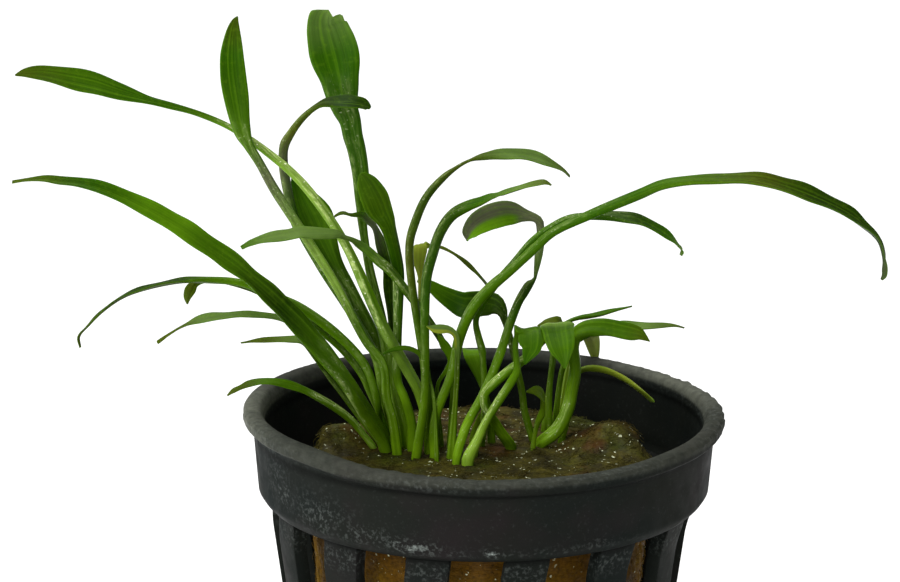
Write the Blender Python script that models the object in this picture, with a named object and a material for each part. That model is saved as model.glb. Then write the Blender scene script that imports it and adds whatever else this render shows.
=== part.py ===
"""Potted cryptocoryne: a young aquarium plant rooted in a plug of rock wool, in a black slotted net pot.

Frame: +Z up, +X to the plant's right, -Y towards whoever looks at it. The origin is the centre
of the pot's underside, so the pot stands on Z = 0. Every length below is in millimetres.
"""

import math

import bmesh
import bpy
from mathutils import Matrix, Vector

MM = 0.001

# Net pot
POT_HEIGHT = 50.0
FLANGE_RADIUS = 27.5
MOUTH_RADIUS = 25.5
COLLAR_FOOT = 39.9
SLAT_COUNT = 14
FIRST_SLAT_BEARING = 10.84
SLAT_HALF_ANGLE = 5.73
FLOOR_THICKNESS = 1.6
FLOOR_RIM_RADIUS = 16.5
HUB_RADIUS = 7.0

# Each row is (outer radius, outer height, inner radius, inner height), from the mouth down the
# wall and in along the floor.
POT_ROWS = (
    (27.0, POT_HEIGHT, 25.9, POT_HEIGHT),
    (FLANGE_RADIUS, 49.6, MOUTH_RADIUS, 49.6),
    (FLANGE_RADIUS, 48.9, 25.2, 48.9),
    (26.4, 48.6, 25.1, 48.6),
    (25.9, 47.9, 25.0, 47.9),
    (25.6, 41.2, 24.7, 41.2),
    (25.0, 40.4, 24.0, 40.4),
    (24.1, COLLAR_FOOT, 22.4, COLLAR_FOOT),
    (23.35, 36.5, 21.8, 36.5),
    (18.85, 2.5, 17.2, 2.5),
    (18.5, 0.0, 17.0, FLOOR_THICKNESS),
    (FLOOR_RIM_RADIUS, 0.0, FLOOR_RIM_RADIUS, FLOOR_THICKNESS),
    (HUB_RADIUS, 0.0, HUB_RADIUS, FLOOR_THICKNESS),
)
WALL_SLOT_ROWS = (7, 8)
FLOOR_SLOT_ROW = 11

# Rock wool plug
WOOL_SECTORS = 28
WOOL_TOP = 45.2
WOOL_TOP_RADII = (5.0, 9.5, 13.5, 16.6, 18.7)
WOOL_SIDE = ((19.8, 43.7), (19.3, 36.5), (16.5, 1.95))
WOOL_MOUNDS = (
    {"centre": (-16.2, 3.0), "spread": 5.0, "rise": 2.4},
    {"centre": (15.0, 2.5), "spread": 6.6, "rise": 2.7},
)
WOOL_RIPPLE = 0.25
WOOL_RIPPLE_RATES = (0.7, 0.6)

# Crowns, the short rhizomes that the leaf stalks grow from: centre and radius
CROWN_FOOT = 41.9
CROWN_TOP = 44.5
CROWN_PROFILE = ((0.75, CROWN_FOOT), (1.0, 42.8), (0.95, 43.9), (0.6, CROWN_TOP))
CROWN_LUMPS = 3
CROWN_LUMP_DEPTH = 0.04
CROWN_SECTORS = 10
POCKET_FOOT = CROWN_FOOT - 0.35
POCKET_CUT_TOP = 52.0
POCKET_MARGIN = 0.75
POCKET_SECTORS = 12
CROWNS = {
    "crown_left_front": (-10.0, 1.1, 2.7),
    "crown_left_back": (-9.9, 7.4, 2.5),
    "crown_middle_left": (-5.9, -2.1, 2.1),
    "crown_middle_back": (-4.7, 2.9, 2.3),
    "crown_front": (-1.8, -3.8, 1.9),
    "crown_centre": (1.7, 2.2, 2.0),
    "crown_right": (7.2, 2.4, 2.7),
    "crown_right_back": (8.7, 7.7, 2.0),
}

# Leaves
STALK_SQUASH = 0.87
STALK_EDGE = 0.5
BLADE_EDGE = 0.2
BLADE_CORE = 0.3
TIP_HALF_WIDTH = 0.2
TIP_THINNING = 0.5
BLADE_FOLD = 0.12
ROUND_TIP = 2.2
COURSE_STEPS = 24
BEND_WEIGHT = 4.0
WIDTH_WEIGHT = 3.0
STATION_SPACING = 4.8
FEWEST_STATIONS = 8
MOST_STATIONS = 18

# Each finish: linear colour, roughness, and the angle in degrees past which an edge stays sharp
FINISHES = {
    "black plastic": ((0.012, 0.013, 0.012), 0.42, 35.0),
    "rock wool": ((0.055, 0.040, 0.012), 0.95, 40.0),
    "crown": ((0.060, 0.080, 0.015), 0.60, 50.0),
    "green": ((0.035, 0.130, 0.008), 0.35, 60.0),
    "bright green": ((0.130, 0.330, 0.015), 0.35, 60.0),
    "olive": ((0.070, 0.085, 0.020), 0.50, 60.0),
    "grey green": ((0.090, 0.160, 0.050), 0.40, 60.0),
    "dark green": ((0.018, 0.050, 0.008), 0.40, 60.0),
}

# Each leaf: stalk and blade widths, the fractions of its length where the blade opens and is
# widest, the way its width lies (at its foot, and at its tip if that differs), its finish, and
# its route from the crown to the tip as (right, back, up). "blunt" rounds the tip off.
LEAVES = {
    "leaf_long_upper_left": {
        "stalk": 1.3, "blade": 3.4, "opens": 0.70, "widest": 0.87, "across": (0, 0.6, 0.8),
        "finish": "green",
        "route": ((-5.7, 3, 44.9), (-6.2, 2, 49), (-7, 0.9, 52.2), (-8.5, -1, 56.1),
                  (-10.1, -1.6, 59.1), (-12.8, -1.6, 64.8), (-15.4, -2, 70.7), (-18.1, -2.8, 75.4),
                  (-24, -3.5, 81.1), (-33.2, -4, 85.9), (-44.1, -6, 89.7), (-50.5, -8, 90.2)),
    },
    "leaf_upright_left": {
        "stalk": 1.2, "blade": 3.2, "opens": 0.75, "widest": 0.88, "across": (1, 0.2, 0),
        "finish": "green",
        "route": ((-9.4, -1.2, 44.9), (-10, -1.8, 49.7), (-10.6, -2, 52.1), (-11, -2.2, 56.2),
                  (-12.8, -2.5, 58.8), (-16.7, -4, 66.8), (-22.1, -5.5, 76), (-25.6, -6.5, 82.5),
                  (-26.4, -6.5, 84.1), (-27.1, -6, 89.7), (-26.7, -3, 95.8)),
    },
    "leaf_long_strap_left": {
        "stalk": 1.8, "blade": 3.2, "opens": 0.05, "widest": 0.55, "across": (0, 0.8, 0.6),
        "finish": "green",
        "route": ((-10.6, 0.3, 44.9), (-12.9, -2, 48.5), (-15.5, -5, 53.2), (-19.3, -8, 60),
                  (-22.6, -10, 65.6), (-29.7, -12, 72.1), (-38.6, -13, 78.1), (-46.8, -13, 79.7),
                  (-50.8, -12, 79.1)),
    },
    "leaf_arching_left": {
        "stalk": 0.8, "blade": 2.4, "opens": 0.57, "widest": 0.74, "across": (0, 1, 0),
        "finish": "green",
        "route": ((-11.1, 6.6, 44.9), (-11.6, 4.2, 48), (-11.9, 1.9, 51), (-13.4, 1.2, 56.5),
                  (-18.1, 0, 61.2), (-21.5, -2, 63.8), (-25.9, -4, 65.7), (-32.2, -6, 67.1),
                  (-39.8, -7, 65.3), (-44.7, -8, 60.9), (-44.6, -8, 59.6)),
    },
    "leaf_small_arch_left": {
        "stalk": 0.7, "blade": 2.0, "opens": 0.60, "widest": 0.80, "across": (0, 1, 0),
        "finish": "green",
        "route": ((-10.6, 8, 44.9), (-12, 4.8, 51.8), (-15.5, 3, 57.7), (-20.5, 0.8, 62.1),
                  (-26.1, -1.5, 64.7), (-30.9, -3, 65.8), (-32.8, -4, 65.2), (-32.8, -4.5, 63.9)),
    },
    "leaf_low_left": {
        "stalk": 0.8, "blade": 2.6, "opens": 0.50, "widest": 0.75, "across": (0, 1, 0.15),
        "finish": "green",
        "route": ((-10.5, 3.7, 44.9), (-12, 3.1, 46.8), (-13.1, 2.4, 48.1), (-15.5, 1, 52),
                  (-18, -1, 56.4), (-20.3, -3, 60.4), (-22.8, -4.4, 62.4), (-27.4, -6, 63.2),
                  (-31.1, -6.5, 62.9), (-34.3, -7, 61.7), (-36, -7, 59.9)),
    },
    "leaf_short_left": {
        "stalk": 0.7, "blade": 2.2, "opens": 0.50, "widest": 0.75, "across": (0, 1, 0),
        "finish": "green",
        "route": ((-11.1, 2.4, 44.9), (-13.5, 0.8, 48.6), (-16.2, -1.6, 53.2), (-18.3, -3.8, 57.1),
                  (-20.4, -5.6, 60.1), (-23.9, -6.6, 60.5), (-26.7, -7, 60)),
    },
    "leaf_over_rim_left": {
        "stalk": 0.9, "blade": 2.4, "opens": 0.40, "widest": 0.70, "across": (0, 1, 0),
        "finish": "green",
        "route": ((-11.9, 1.3, 44.9), (-13.1, 0.2, 47.2), (-15.6, -1.8, 50.3), (-18, -3.4, 52.8),
                  (-21.5, -4.6, 54.9), (-24, -5, 55.3), (-26.9, -5.5, 54.8), (-28.6, -6, 53.6)),
    },
    "leaf_level_grey_green": {
        "stalk": 0.9, "blade": 4.4, "opens": 0.75, "widest": 0.89, "across": (0, 0.97, 0.2),
        "finish": "grey green",
        "route": ((-3.4, 1.3, 44.9), (-3.1, 1.4, 49.7), (-3.3, 1.6, 55.7), (-4.2, -0.2, 61.1),
                  (-5.6, -0.5, 63.6), (-8.8, -1, 65.7), (-11.1, -1.8, 68.6), (-13.6, -3, 70.5),
                  (-16.1, -6, 72.1), (-19.9, -8.5, 72.9), (-22.9, -10, 72.6), (-26.2, -11, 71.6)),
    },
    "leaf_tall_blunt": {
        "stalk": 1.5, "blade": 5.3, "opens": 0.79, "widest": 0.92, "across": (1, 0.1, 0),
        "finish": "green", "blunt": 4.0,
        "route": ((-8.4, 1.6, 44.9), (-9.2, 1.4, 49.3), (-9.9, 1.5, 52.1), (-10.5, 2.2, 55.5),
                  (-11.2, 2.8, 59.5), (-12.3, 3, 64.2), (-13.1, 3.3, 69.4), (-13.5, 3, 76.4),
                  (-14.7, 2.5, 83.7), (-15.5, 2.5, 86.1), (-16.1, 3, 90.1), (-17.5, 5.5, 95.5)),
    },
    "leaf_tall_hooked": {
        "stalk": 1.0, "blade": 2.6, "opens": 0.82, "widest": 0.93, "across": (0, 0.85, 0.5),
        "finish": "green",
        "route": ((-9.8, 7.1, 44.9), (-11.3, 3.2, 51.6), (-11.9, 3.1, 55.3), (-14.6, 1.8, 60.9),
                  (-18.4, 0.5, 67.5), (-21, -0.3, 73.1), (-21.9, -0.5, 77.7), (-21.5, -0.6, 81.7),
                  (-17.6, -1, 85.9), (-14.5, -1, 86.3), (-12.8, -0.6, 86.2), (-12.3, -0.3, 85.3)),
    },
    "leaf_round_tip": {
        "stalk": 1.1, "blade": 3.1, "opens": 0.58, "widest": 0.86, "across": (1, 0, 0.6),
        "finish": "green", "blunt": 3.0,
        "route": ((-7.8, 0.2, 44.9), (-7.8, -0.2, 48.4), (-8.6, -0.4, 51.7), (-9.4, -0.2, 53.5),
                  (-9.8, 0.8, 57.6), (-9.2, 0.9, 62.3), (-9.3, 0.6, 66.7), (-9.9, -2, 70.7),
                  (-11.7, -6, 76.3), (-12.9, -8, 79.3)),
    },
    "leaf_dark_behind": {
        "stalk": 1.2, "blade": 3.0, "opens": 0.62, "widest": 0.88, "across": (1, 0, 0.3),
        "finish": "dark green",
        "route": ((-9.6, 9.6, 44.9), (-10.7, 7.6, 49.2), (-12, 5.4, 56.4), (-14.1, 4, 61.6),
                  (-16.8, 2.6, 67), (-19.4, 2, 72.8), (-21.2, 2, 76.9)),
    },
    "leaf_shrivelled": {
        "stalk": 1.1, "blade": 1.4, "opens": 0.50, "widest": 0.70, "across": (0, 1, 0),
        "finish": "dark green",
        "route": ((-8.6, 5.3, 44.9), (-9.3, 4.4, 48.6), (-10.2, 4.5, 54.9), (-10.3, 4.6, 59),
                  (-10.4, 3.5, 62.9), (-10.8, 1.2, 67.3), (-11.6, 0.6, 70), (-13.3, -0.8, 73.3),
                  (-15.1, -0.6, 73.4), (-16.6, 0.2, 72.9)),
    },
    "leaf_top_arch": {
        "stalk": 1.15, "blade": 3.0, "opens": 0.70, "widest": 0.85, "across": (0, 1, 0.3),
        "finish": "green",
        "route": ((-5.9, -0.2, 44.9), (-6.1, -0.7, 52.7), (-6.4, -1.2, 55.8), (-6.8, -1.8, 58.9),
                  (-7.5, -2, 62.2), (-8.3, -2.6, 66.7), (-8.3, -3, 68.5), (-7.2, -3.5, 73.6),
                  (-3.8, -2, 78.1), (0.4, 0, 79.7), (6.7, 3.5, 79), (10.3, 5, 76.5)),
    },
    "leaf_front_arch": {
        "stalk": 1.3, "blade": 2.6, "opens": 0.71, "widest": 0.86, "across": (0, 1, 0.2),
        "finish": "green",
        "route": ((-7.4, -2.2, 44.9), (-6.6, -3.2, 50.1), (-6.3, -3.4, 53.5), (-6, -3.6, 57.3),
                  (-6.3, -3.8, 62.9), (-6, -4, 66.5), (-4.3, -4, 72.2), (-2.8, -4.2, 74.8),
                  (-0.9, -5, 76), (1.7, -6, 76.7), (4.2, -7, 78), (6.7, -8, 78.7), (7.7, -8, 78.2)),
    },
    "leaf_kinked": {
        "stalk": 1.0, "blade": 3.6, "opens": 0.75, "widest": 0.87, "across": (0, 0.5, 0.85),
        "finish": "green",
        "route": ((-2.7, -5, 44.9), (-1.5, -3.8, 49.5), (-0.7, -1.8, 50.3), (0.1, -0.8, 51.6),
                  (1.2, -0.8, 53.3), (2.1, -0.2, 55.5), (4.8, 0.2, 62.7), (6.1, 0.4, 65.5),
                  (6.9, 0.8, 68.9), (6.8, 1, 71.7), (5.7, 1, 73), (1.8, 0, 73), (0, -0.6, 72.3),
                  (-1.6, -1.2, 70.4)),
    },
    "leaf_long_right": {
        "stalk": 1.3, "blade": 3.0, "opens": 0.48, "widest": 0.82, "across": (0, 0.9, 0.4),
        "finish": "bright green",
        "route": ((-5.2, -2.2, 44.9), (-5.2, -2.2, 49.4), (-4.5, -2, 53.7), (-3.5, -2.1, 55.9),
                  (-2.2, -2.3, 60.5), (-0.4, -3.5, 63.2), (1.3, -4.5, 65.7), (4.3, -6, 69.2),
                  (7.1, -7, 71.9), (13, -9, 75.3), (18.1, -10, 77.7), (25.8, -11, 79.5),
                  (33.9, -11, 78.7), (40, -11, 75.8), (43.6, -10.5, 72.3), (44.3, -10, 68)),
    },
    "leaf_curled_right": {
        "stalk": 1.0, "blade": 2.6, "opens": 0.79, "widest": 0.87, "across": (0, 0.9, 0.4),
        "finish": "green",
        "route": ((0.1, 2, 44.9), (0.6, 1.2, 50.4), (0.3, 0.4, 56.7), (-0.3, 0, 59.6),
                  (0.5, -0.8, 62.8), (3.1, -3, 68.2), (5.2, -4.5, 70.7), (7.1, -5.5, 72.6),
                  (10.4, -6.5, 74.2), (13.7, -7, 74.5), (17.3, -7.5, 74.2), (21.1, -7.5, 71.8),
                  (22.2, -7, 70.1)),
    },
    "leaf_olive_triangle": {
        "stalk": 0.8, "blade": 1.8, "opens": 0.54, "widest": 0.63, "across": (1, 0, 0.3),
        "tip_across": (0, 1, 0.1), "finish": "olive",
        "route": ((-5.5, 4.9, 44.9), (-5.7, 3.9, 50.2), (-6.4, 2.8, 57.7), (-6.7, 2.4, 62.6),
                  (-6.8, 2.4, 67.7), (-6.3, 3.2, 68.6), (-5.5, 4, 68.5), (-2, 7, 66.2), (0.2, 8, 64),
                  (1.8, 9, 61.8)),
    },
    "leaf_wide_behind": {
        "stalk": 0.9, "blade": 3.0, "opens": 0.57, "widest": 0.76, "across": (0, 0.3, 1),
        "finish": "green",
        "route": ((6.4, 4.6, 44.9), (6, 3.8, 46.4), (5.3, 3, 49), (4.9, 3, 51.7), (4, 3.6, 55.7),
                  (3.4, 3.8, 58.1), (2.9, 4, 60.3), (1.8, 4.4, 61.4), (-2.1, 5.6, 61.4), (-4, 6, 62.4),
                  (-8, 6.2, 64.3)),
    },
    "leaf_small_level_right": {
        "stalk": 0.8, "blade": 2.2, "opens": 0.64, "widest": 0.83, "across": (0, 1, 0.2),
        "finish": "green",
        "route": ((8.3, 6, 44.9), (8.2, 5.5, 49.8), (8.4, 6, 53.3), (9.2, 7, 57.8), (10.4, 7.5, 58.8),
                  (12.3, 8, 59), (15, 9, 59.6), (18, 10, 60)),
    },
    "leaf_bent_stalk_right": {
        "stalk": 1.5, "blade": 3.4, "opens": 0.59, "widest": 0.84, "across": (0, 0.7, 0.7),
        "finish": "bright green",
        "route": ((7, 2.2, 44.9), (10, 2.5, 48.7), (11, 4, 52.6), (10.9, 5, 55.9), (11.1, 5, 57.6),
                  (14, 5, 58.7), (18.6, 5, 57.9), (19.7, 5, 57)),
    },
    "leaf_back_right": {
        "stalk": 0.8, "blade": 2.6, "opens": 0.55, "widest": 0.79, "across": (0, 0.95, 0.3),
        "finish": "green",
        "route": ((8.8, 7.6, 44.9), (9.1, 7.5, 48), (9.8, 8.5, 52.6), (11, 9.5, 55.4),
                  (13.1, 10.5, 56.7), (15.6, 11.5, 57.2), (19.2, 12.5, 57.2), (22.4, 13, 56.8),
                  (24.5, 13, 56.5)),
    },
    "leaf_drooping_pale_stalk": {
        "stalk": 1.2, "blade": 3.2, "opens": 0.66, "widest": 0.85, "across": (1, 0, 0.1),
        "finish": "bright green",
        "route": ((-1.4, -5.5, 44.9), (-0.3, -4.5, 47.8), (0.6, -4.3, 49.5), (2.2, -3.3, 52.3),
                  (2.8, -3, 53.8), (4, -2.9, 55.5), (4.2, -2.8, 57.4), (4.1, -2.6, 59.1),
                  (4.7, -2.8, 60.5), (5.8, -3.6, 60.7), (6, -5, 59.8), (5.6, -6, 58.6),
                  (4.9, -6.6, 57.3)),
    },
    "leaf_drooping_glossy": {
        "stalk": 1.1, "blade": 3.6, "opens": 0.66, "widest": 0.84, "across": (1, 0, 0.1),
        "finish": "green",
        "route": ((3.3, 1.2, 44.9), (2, -1, 48.4), (0.7, -2.4, 51.4), (1.1, -2.4, 53.7),
                  (2.3, -2, 54.9), (3.7, -1, 55.6), (5.4, -0.4, 56.4), (7.2, -0.6, 58),
                  (8.2, -1.6, 59.7), (8.6, -4.2, 61.3), (8.9, -7, 61.4), (9.2, -9, 60.2),
                  (9.4, -10, 58)),
    },
    "leaf_small_olive_back": {
        "stalk": 0.8, "blade": 2.0, "opens": 0.50, "widest": 0.80, "across": (0.3, 1, 0.3),
        "finish": "olive",
        "route": ((7.7, 8.5, 44.9), (8.2, 9, 48.8), (9, 10, 54.6), (9.7, 10.5, 57.2), (9.3, 10, 58.5),
                  (8.1, 9, 58.5), (6.8, 8.5, 57.8)),
    },
    "leaf_over_back_rim": {
        "stalk": 0.8, "blade": 2.0, "opens": 0.40, "widest": 0.75, "across": (1, 0.3, 0),
        "finish": "olive",
        "route": ((9.3, 9.2, 44.9), (10, 11.5, 48.1), (11, 14.5, 52.2), (12.1, 18, 54), (13.2, 21, 54),
                  (14, 23.5, 52.6), (14.5, 25.5, 50.5), (14.8, 27, 48)),
    },
    "cut_stalk_right": {
        "stalk": 0.9, "blade": 0.9, "opens": 0.50, "widest": 0.99, "across": (0, 1, 0),
        "finish": "bright green",
        "route": ((9.4, 3.6, 44.9), (10.3, 5, 48.1), (10.4, 6, 50.8), (11.1, 6.4, 52.9),
                  (14.2, 6.8, 53.5), (17.7, 7, 51.9), (20.8, 7, 49.3)),
    },
    "leaf_folded_right": {
        "stalk": 0.7, "blade": 2.0, "opens": 0.30, "widest": 0.60, "across": (0, 0.6, 0.8),
        "finish": "dark green",
        "route": ((6.1, 0.3, 44.9), (6.6, 0, 48.3), (7.4, -0.6, 50.6), (7.2, -2, 52.4), (6.4, -3, 53.3),
                  (5.3, -4, 53.5)),
    },
    "leaf_folded_centre": {
        "stalk": 1.1, "blade": 2.4, "opens": 0.60, "widest": 0.80, "across": (0, 0.7, 0.7),
        "finish": "green",
        "route": ((-3.3, -2.9, 44.9), (-2.8, -3.2, 52.2), (-2.7, -4.1, 58.9), (-3.2, -4.8, 60.6),
                  (-4.1, -5, 61), (-5, -6, 61.1), (-5.9, -6.5, 60.6)),
    },
    "leaf_small_bright": {
        "stalk": 0.7, "blade": 2.2, "opens": 0.45, "widest": 0.75, "across": (1, 0, 0.2),
        "finish": "bright green",
        "route": ((-4.4, 2.1, 44.9), (-4.3, 0.8, 51.1), (-3.9, -0.6, 54.8), (-4, -0.7, 58.3),
                  (-4.5, -0.4, 59.2)),
    },
    "leaf_folded_grey": {
        "stalk": 0.8, "blade": 2.2, "opens": 0.55, "widest": 0.80, "across": (0, 0.7, 0.7),
        "finish": "grey green",
        "route": ((-4.9, -3.7, 44.9), (-4.9, -4.4, 51.4), (-5.4, -5.5, 55.8), (-6.3, -6, 58.3),
                  (-7.4, -6.2, 59.3), (-8.5, -6.2, 59.4), (-10, -6, 58.6)),
    },
    "leaf_bent_back": {
        "stalk": 0.9, "blade": 2.3, "opens": 0.45, "widest": 0.70, "across": (1, 0, 0),
        "finish": "green",
        "route": ((1.5, 4, 44.9), (1.1, 3, 49), (0.5, 2.4, 52.1), (-0.6, 2.6, 55.9), (-1, 4.5, 56.2),
                  (-1.3, 7, 55.2)),
    },
    "leaf_olive_stub": {
        "stalk": 0.7, "blade": 1.3, "opens": 0.30, "widest": 0.60, "across": (1, 0, 0),
        "finish": "olive",
        "route": ((-0.7, -2.4, 44.9), (-0.5, -1, 47.2), (0, -0.2, 49.8)),
    },
}


def clear_scene():
    """Remove whatever objects the file opens with."""
    for thing in list(bpy.data.objects):
        bpy.data.objects.remove(thing, do_unlink=True)


def smoothstep(low, high, value):
    """Ease from 0 at low to 1 at high."""
    share = min(max((value - low) / max(high - low, 1e-6), 0.0), 1.0)
    return share * share * (3.0 - 2.0 * share)


def blend(low, high, share):
    return low + (high - low) * share


def round_place(radius, bearing, height):
    """A place around the pot's axis; bearing 0 faces the viewer and grows to the right."""
    angle = math.radians(bearing)
    return Vector((radius * math.sin(angle), -radius * math.cos(angle), height))


def make_object(name, bm, finish):
    """Turn a bmesh in millimetres into a named object in metres with its own material."""
    bmesh.ops.scale(bm, vec=(MM, MM, MM), verts=bm.verts)
    mesh = bpy.data.meshes.new(name)
    bm.to_mesh(mesh)
    bm.free()
    mesh.shade_smooth()
    colour, roughness, crease = FINISHES[finish]
    mesh.set_sharp_from_angle(angle=math.radians(crease))
    material = bpy.data.materials.new(name + " " + finish)
    material.use_nodes = True
    shader = material.node_tree.nodes["Principled BSDF"]
    shader.inputs["Base Color"].default_value = (*colour, 1.0)
    shader.inputs["Roughness"].default_value = roughness
    shader.inputs["Metallic"].default_value = 0.0
    mesh.materials.append(material)
    thing = bpy.data.objects.new(name, mesh)
    bpy.context.scene.collection.objects.link(thing)
    return thing


def pot_bearings():
    """The bearings of the wall's uprights, and for each sector after one whether it is a slot."""
    bearings = []
    is_slot = []
    pitch = 360.0 / SLAT_COUNT
    for slat in range(SLAT_COUNT):
        centre = FIRST_SLAT_BEARING + slat * pitch
        bearings += [centre - SLAT_HALF_ANGLE, centre, centre + SLAT_HALF_ANGLE, centre + 0.5 * pitch]
        is_slot += [False, False, True, True]
    return bearings, is_slot


def build_pot():
    """One shell: flange, collar, tapered slats, and a floor with a slot in line with each wall slot."""
    bearings, is_slot = pot_bearings()
    sectors = len(bearings)
    bm = bmesh.new()
    outer = []
    inner = []
    for outer_radius, outer_height, inner_radius, inner_height in POT_ROWS:
        outer.append([bm.verts.new(round_place(outer_radius, b, outer_height)) for b in bearings])
        inner.append([bm.verts.new(round_place(inner_radius, b, inner_height)) for b in bearings])

    def is_solid(row, sector):
        open_row = row in WALL_SLOT_ROWS or row == FLOOR_SLOT_ROW
        return not (open_row and is_slot[sector % sectors])

    last_row = len(POT_ROWS) - 1
    for row in range(last_row):
        for sector in range(sectors):
            if not is_solid(row, sector):
                continue
            after = (sector + 1) % sectors
            bm.faces.new((outer[row][sector], outer[row + 1][sector], outer[row + 1][after], outer[row][after]))
            bm.faces.new((inner[row][sector], inner[row][after], inner[row + 1][after], inner[row + 1][sector]))
            if not is_solid(row, sector - 1):
                bm.faces.new((outer[row][sector], inner[row][sector],
                              inner[row + 1][sector], outer[row + 1][sector]))
            if not is_solid(row, sector + 1):
                bm.faces.new((outer[row][after], outer[row + 1][after],
                              inner[row + 1][after], inner[row][after]))
            if row == 0 or not is_solid(row - 1, sector):
                bm.faces.new((outer[row][sector], outer[row][after], inner[row][after], inner[row][sector]))
            if row + 1 < last_row and not is_solid(row + 1, sector):
                bm.faces.new((outer[row + 1][sector], inner[row + 1][sector],
                              inner[row + 1][after], outer[row + 1][after]))
    for sector in range(sectors):
        if not is_solid(last_row - 1, sector):
            after = (sector + 1) % sectors
            bm.faces.new((outer[last_row][sector], outer[last_row][after],
                          inner[last_row][after], inner[last_row][sector]))
    bm.faces.new(outer[last_row])
    bm.faces.new(reversed(inner[last_row]))
    bmesh.ops.recalc_face_normals(bm, faces=bm.faces)
    return make_object("net_pot", bm, "black plastic")


def wool_top(right, back):
    """Height of the wool's top: a slightly uneven level with a mound on each side."""
    right_rate, back_rate = WOOL_RIPPLE_RATES
    height = WOOL_TOP + WOOL_RIPPLE * math.sin(right_rate * right) * math.cos(back_rate * back)
    for mound in WOOL_MOUNDS:
        distance = math.dist((right, back), mound["centre"])
        if distance < mound["spread"]:
            height += mound["rise"] * 0.5 * (1.0 + math.cos(math.pi * distance / mound["spread"]))
    return height


def join_rings(bm, rings):
    """Quads between each ring of vertices and the next."""
    for ring, following in zip(rings, rings[1:]):
        count = len(ring)
        for index in range(count):
            after = (index + 1) % count
            bm.faces.new((ring[index], following[index], following[after], ring[after]))


def pocket_cutter(name, right, back, radius):
    """A round pocket in the wool's top, a little wider and deeper than the crown that sits in it."""
    reach = (radius + POCKET_MARGIN) / math.cos(math.pi / POCKET_SECTORS)
    bm = bmesh.new()
    middle = Matrix.Translation((right, back, 0.5 * (POCKET_FOOT + POCKET_CUT_TOP)))
    bmesh.ops.create_cone(bm, cap_ends=True, segments=POCKET_SECTORS, radius1=reach, radius2=reach,
                          depth=POCKET_CUT_TOP - POCKET_FOOT, matrix=middle)
    cutter = make_object("cutter_" + name, bm, "rock wool")
    cutter.hide_render = True
    cutter.display_type = "WIRE"
    return cutter


def build_wool():
    """A tapered plug with an uneven top, and a pocket for each crown."""
    bearings = [360.0 * step / WOOL_SECTORS for step in range(WOOL_SECTORS)]
    bm = bmesh.new()
    centre = bm.verts.new((0.0, 0.0, wool_top(0.0, 0.0)))
    rings = []
    for radius in WOOL_TOP_RADII:
        places = [round_place(radius, bearing, 0.0) for bearing in bearings]
        rings.append([bm.verts.new((p.x, p.y, wool_top(p.x, p.y))) for p in places])
    for radius, height in WOOL_SIDE:
        rings.append([bm.verts.new(round_place(radius, bearing, height)) for bearing in bearings])
    for index in range(WOOL_SECTORS):
        bm.faces.new((centre, rings[0][index], rings[0][(index + 1) % WOOL_SECTORS]))
    join_rings(bm, rings)
    bm.faces.new(reversed(rings[-1]))
    bmesh.ops.recalc_face_normals(bm, faces=bm.faces)
    wool = make_object("rock_wool_plug", bm, "rock wool")
    for name, (right, back, radius) in CROWNS.items():
        cut = wool.modifiers.new("pocket " + name, "BOOLEAN")
        cut.operation = "DIFFERENCE"
        cut.solver = "EXACT"
        cut.object = pocket_cutter(name, right, back, radius)
    return wool


def build_crown(name, right, back, radius):
    """A short lumpy rhizome with a nearly flat top."""
    rings = []
    bm = bmesh.new()
    for share, height in CROWN_PROFILE:
        ring = []
        for sector in range(CROWN_SECTORS):
            bearing = 360.0 * sector / CROWN_SECTORS
            lump = 1.0 - CROWN_LUMP_DEPTH * (1.0 + math.sin(math.radians(CROWN_LUMPS * bearing)))
            place = round_place(radius * share * lump, bearing, height)
            ring.append(bm.verts.new(place + Vector((right, back, 0.0))))
        rings.append(ring)
    bm.faces.new(reversed(rings[0]))
    join_rings(bm, rings)
    bm.faces.new(rings[-1])
    bmesh.ops.recalc_face_normals(bm, faces=bm.faces)
    return make_object(name, bm, "crown")


def smooth_course(route):
    """Close places along the centripetal Catmull-Rom curve through a route."""
    points = [Vector(point) for point in route]
    points = [2.0 * points[0] - points[1]] + points + [2.0 * points[-1] - points[-2]]
    course = []
    for before, here, there, beyond in zip(points, points[1:], points[2:], points[3:]):
        knots = [0.0]
        for start, end in ((before, here), (here, there), (there, beyond)):
            knots.append(knots[-1] + math.sqrt((end - start).length))
        for step in range(COURSE_STEPS):
            moment = blend(knots[1], knots[2], step / COURSE_STEPS)
            first = before.lerp(here, (moment - knots[0]) / (knots[1] - knots[0]))
            second = here.lerp(there, (moment - knots[1]) / (knots[2] - knots[1]))
            third = there.lerp(beyond, (moment - knots[2]) / (knots[3] - knots[2]))
            left = first.lerp(second, (moment - knots[0]) / (knots[2] - knots[0]))
            right = second.lerp(third, (moment - knots[1]) / (knots[3] - knots[1]))
            course.append(left.lerp(right, (moment - knots[1]) / (knots[2] - knots[1])))
    course.append(points[-2])
    return course


def half_width_at(leaf, share):
    """Half the leaf's width at a share of its length: stalk, opening blade, closing tip."""
    opened = smoothstep(leaf["opens"], leaf["widest"], share)
    closing = max((share - leaf["widest"]) / (1.0 - leaf["widest"]), 0.0)
    narrowing = 1.0 - closing ** leaf.get("blunt", ROUND_TIP)
    width = blend(STALK_SQUASH * leaf["stalk"], leaf["blade"], opened) * narrowing
    return max(0.5 * width, TIP_HALF_WIDTH)


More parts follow.
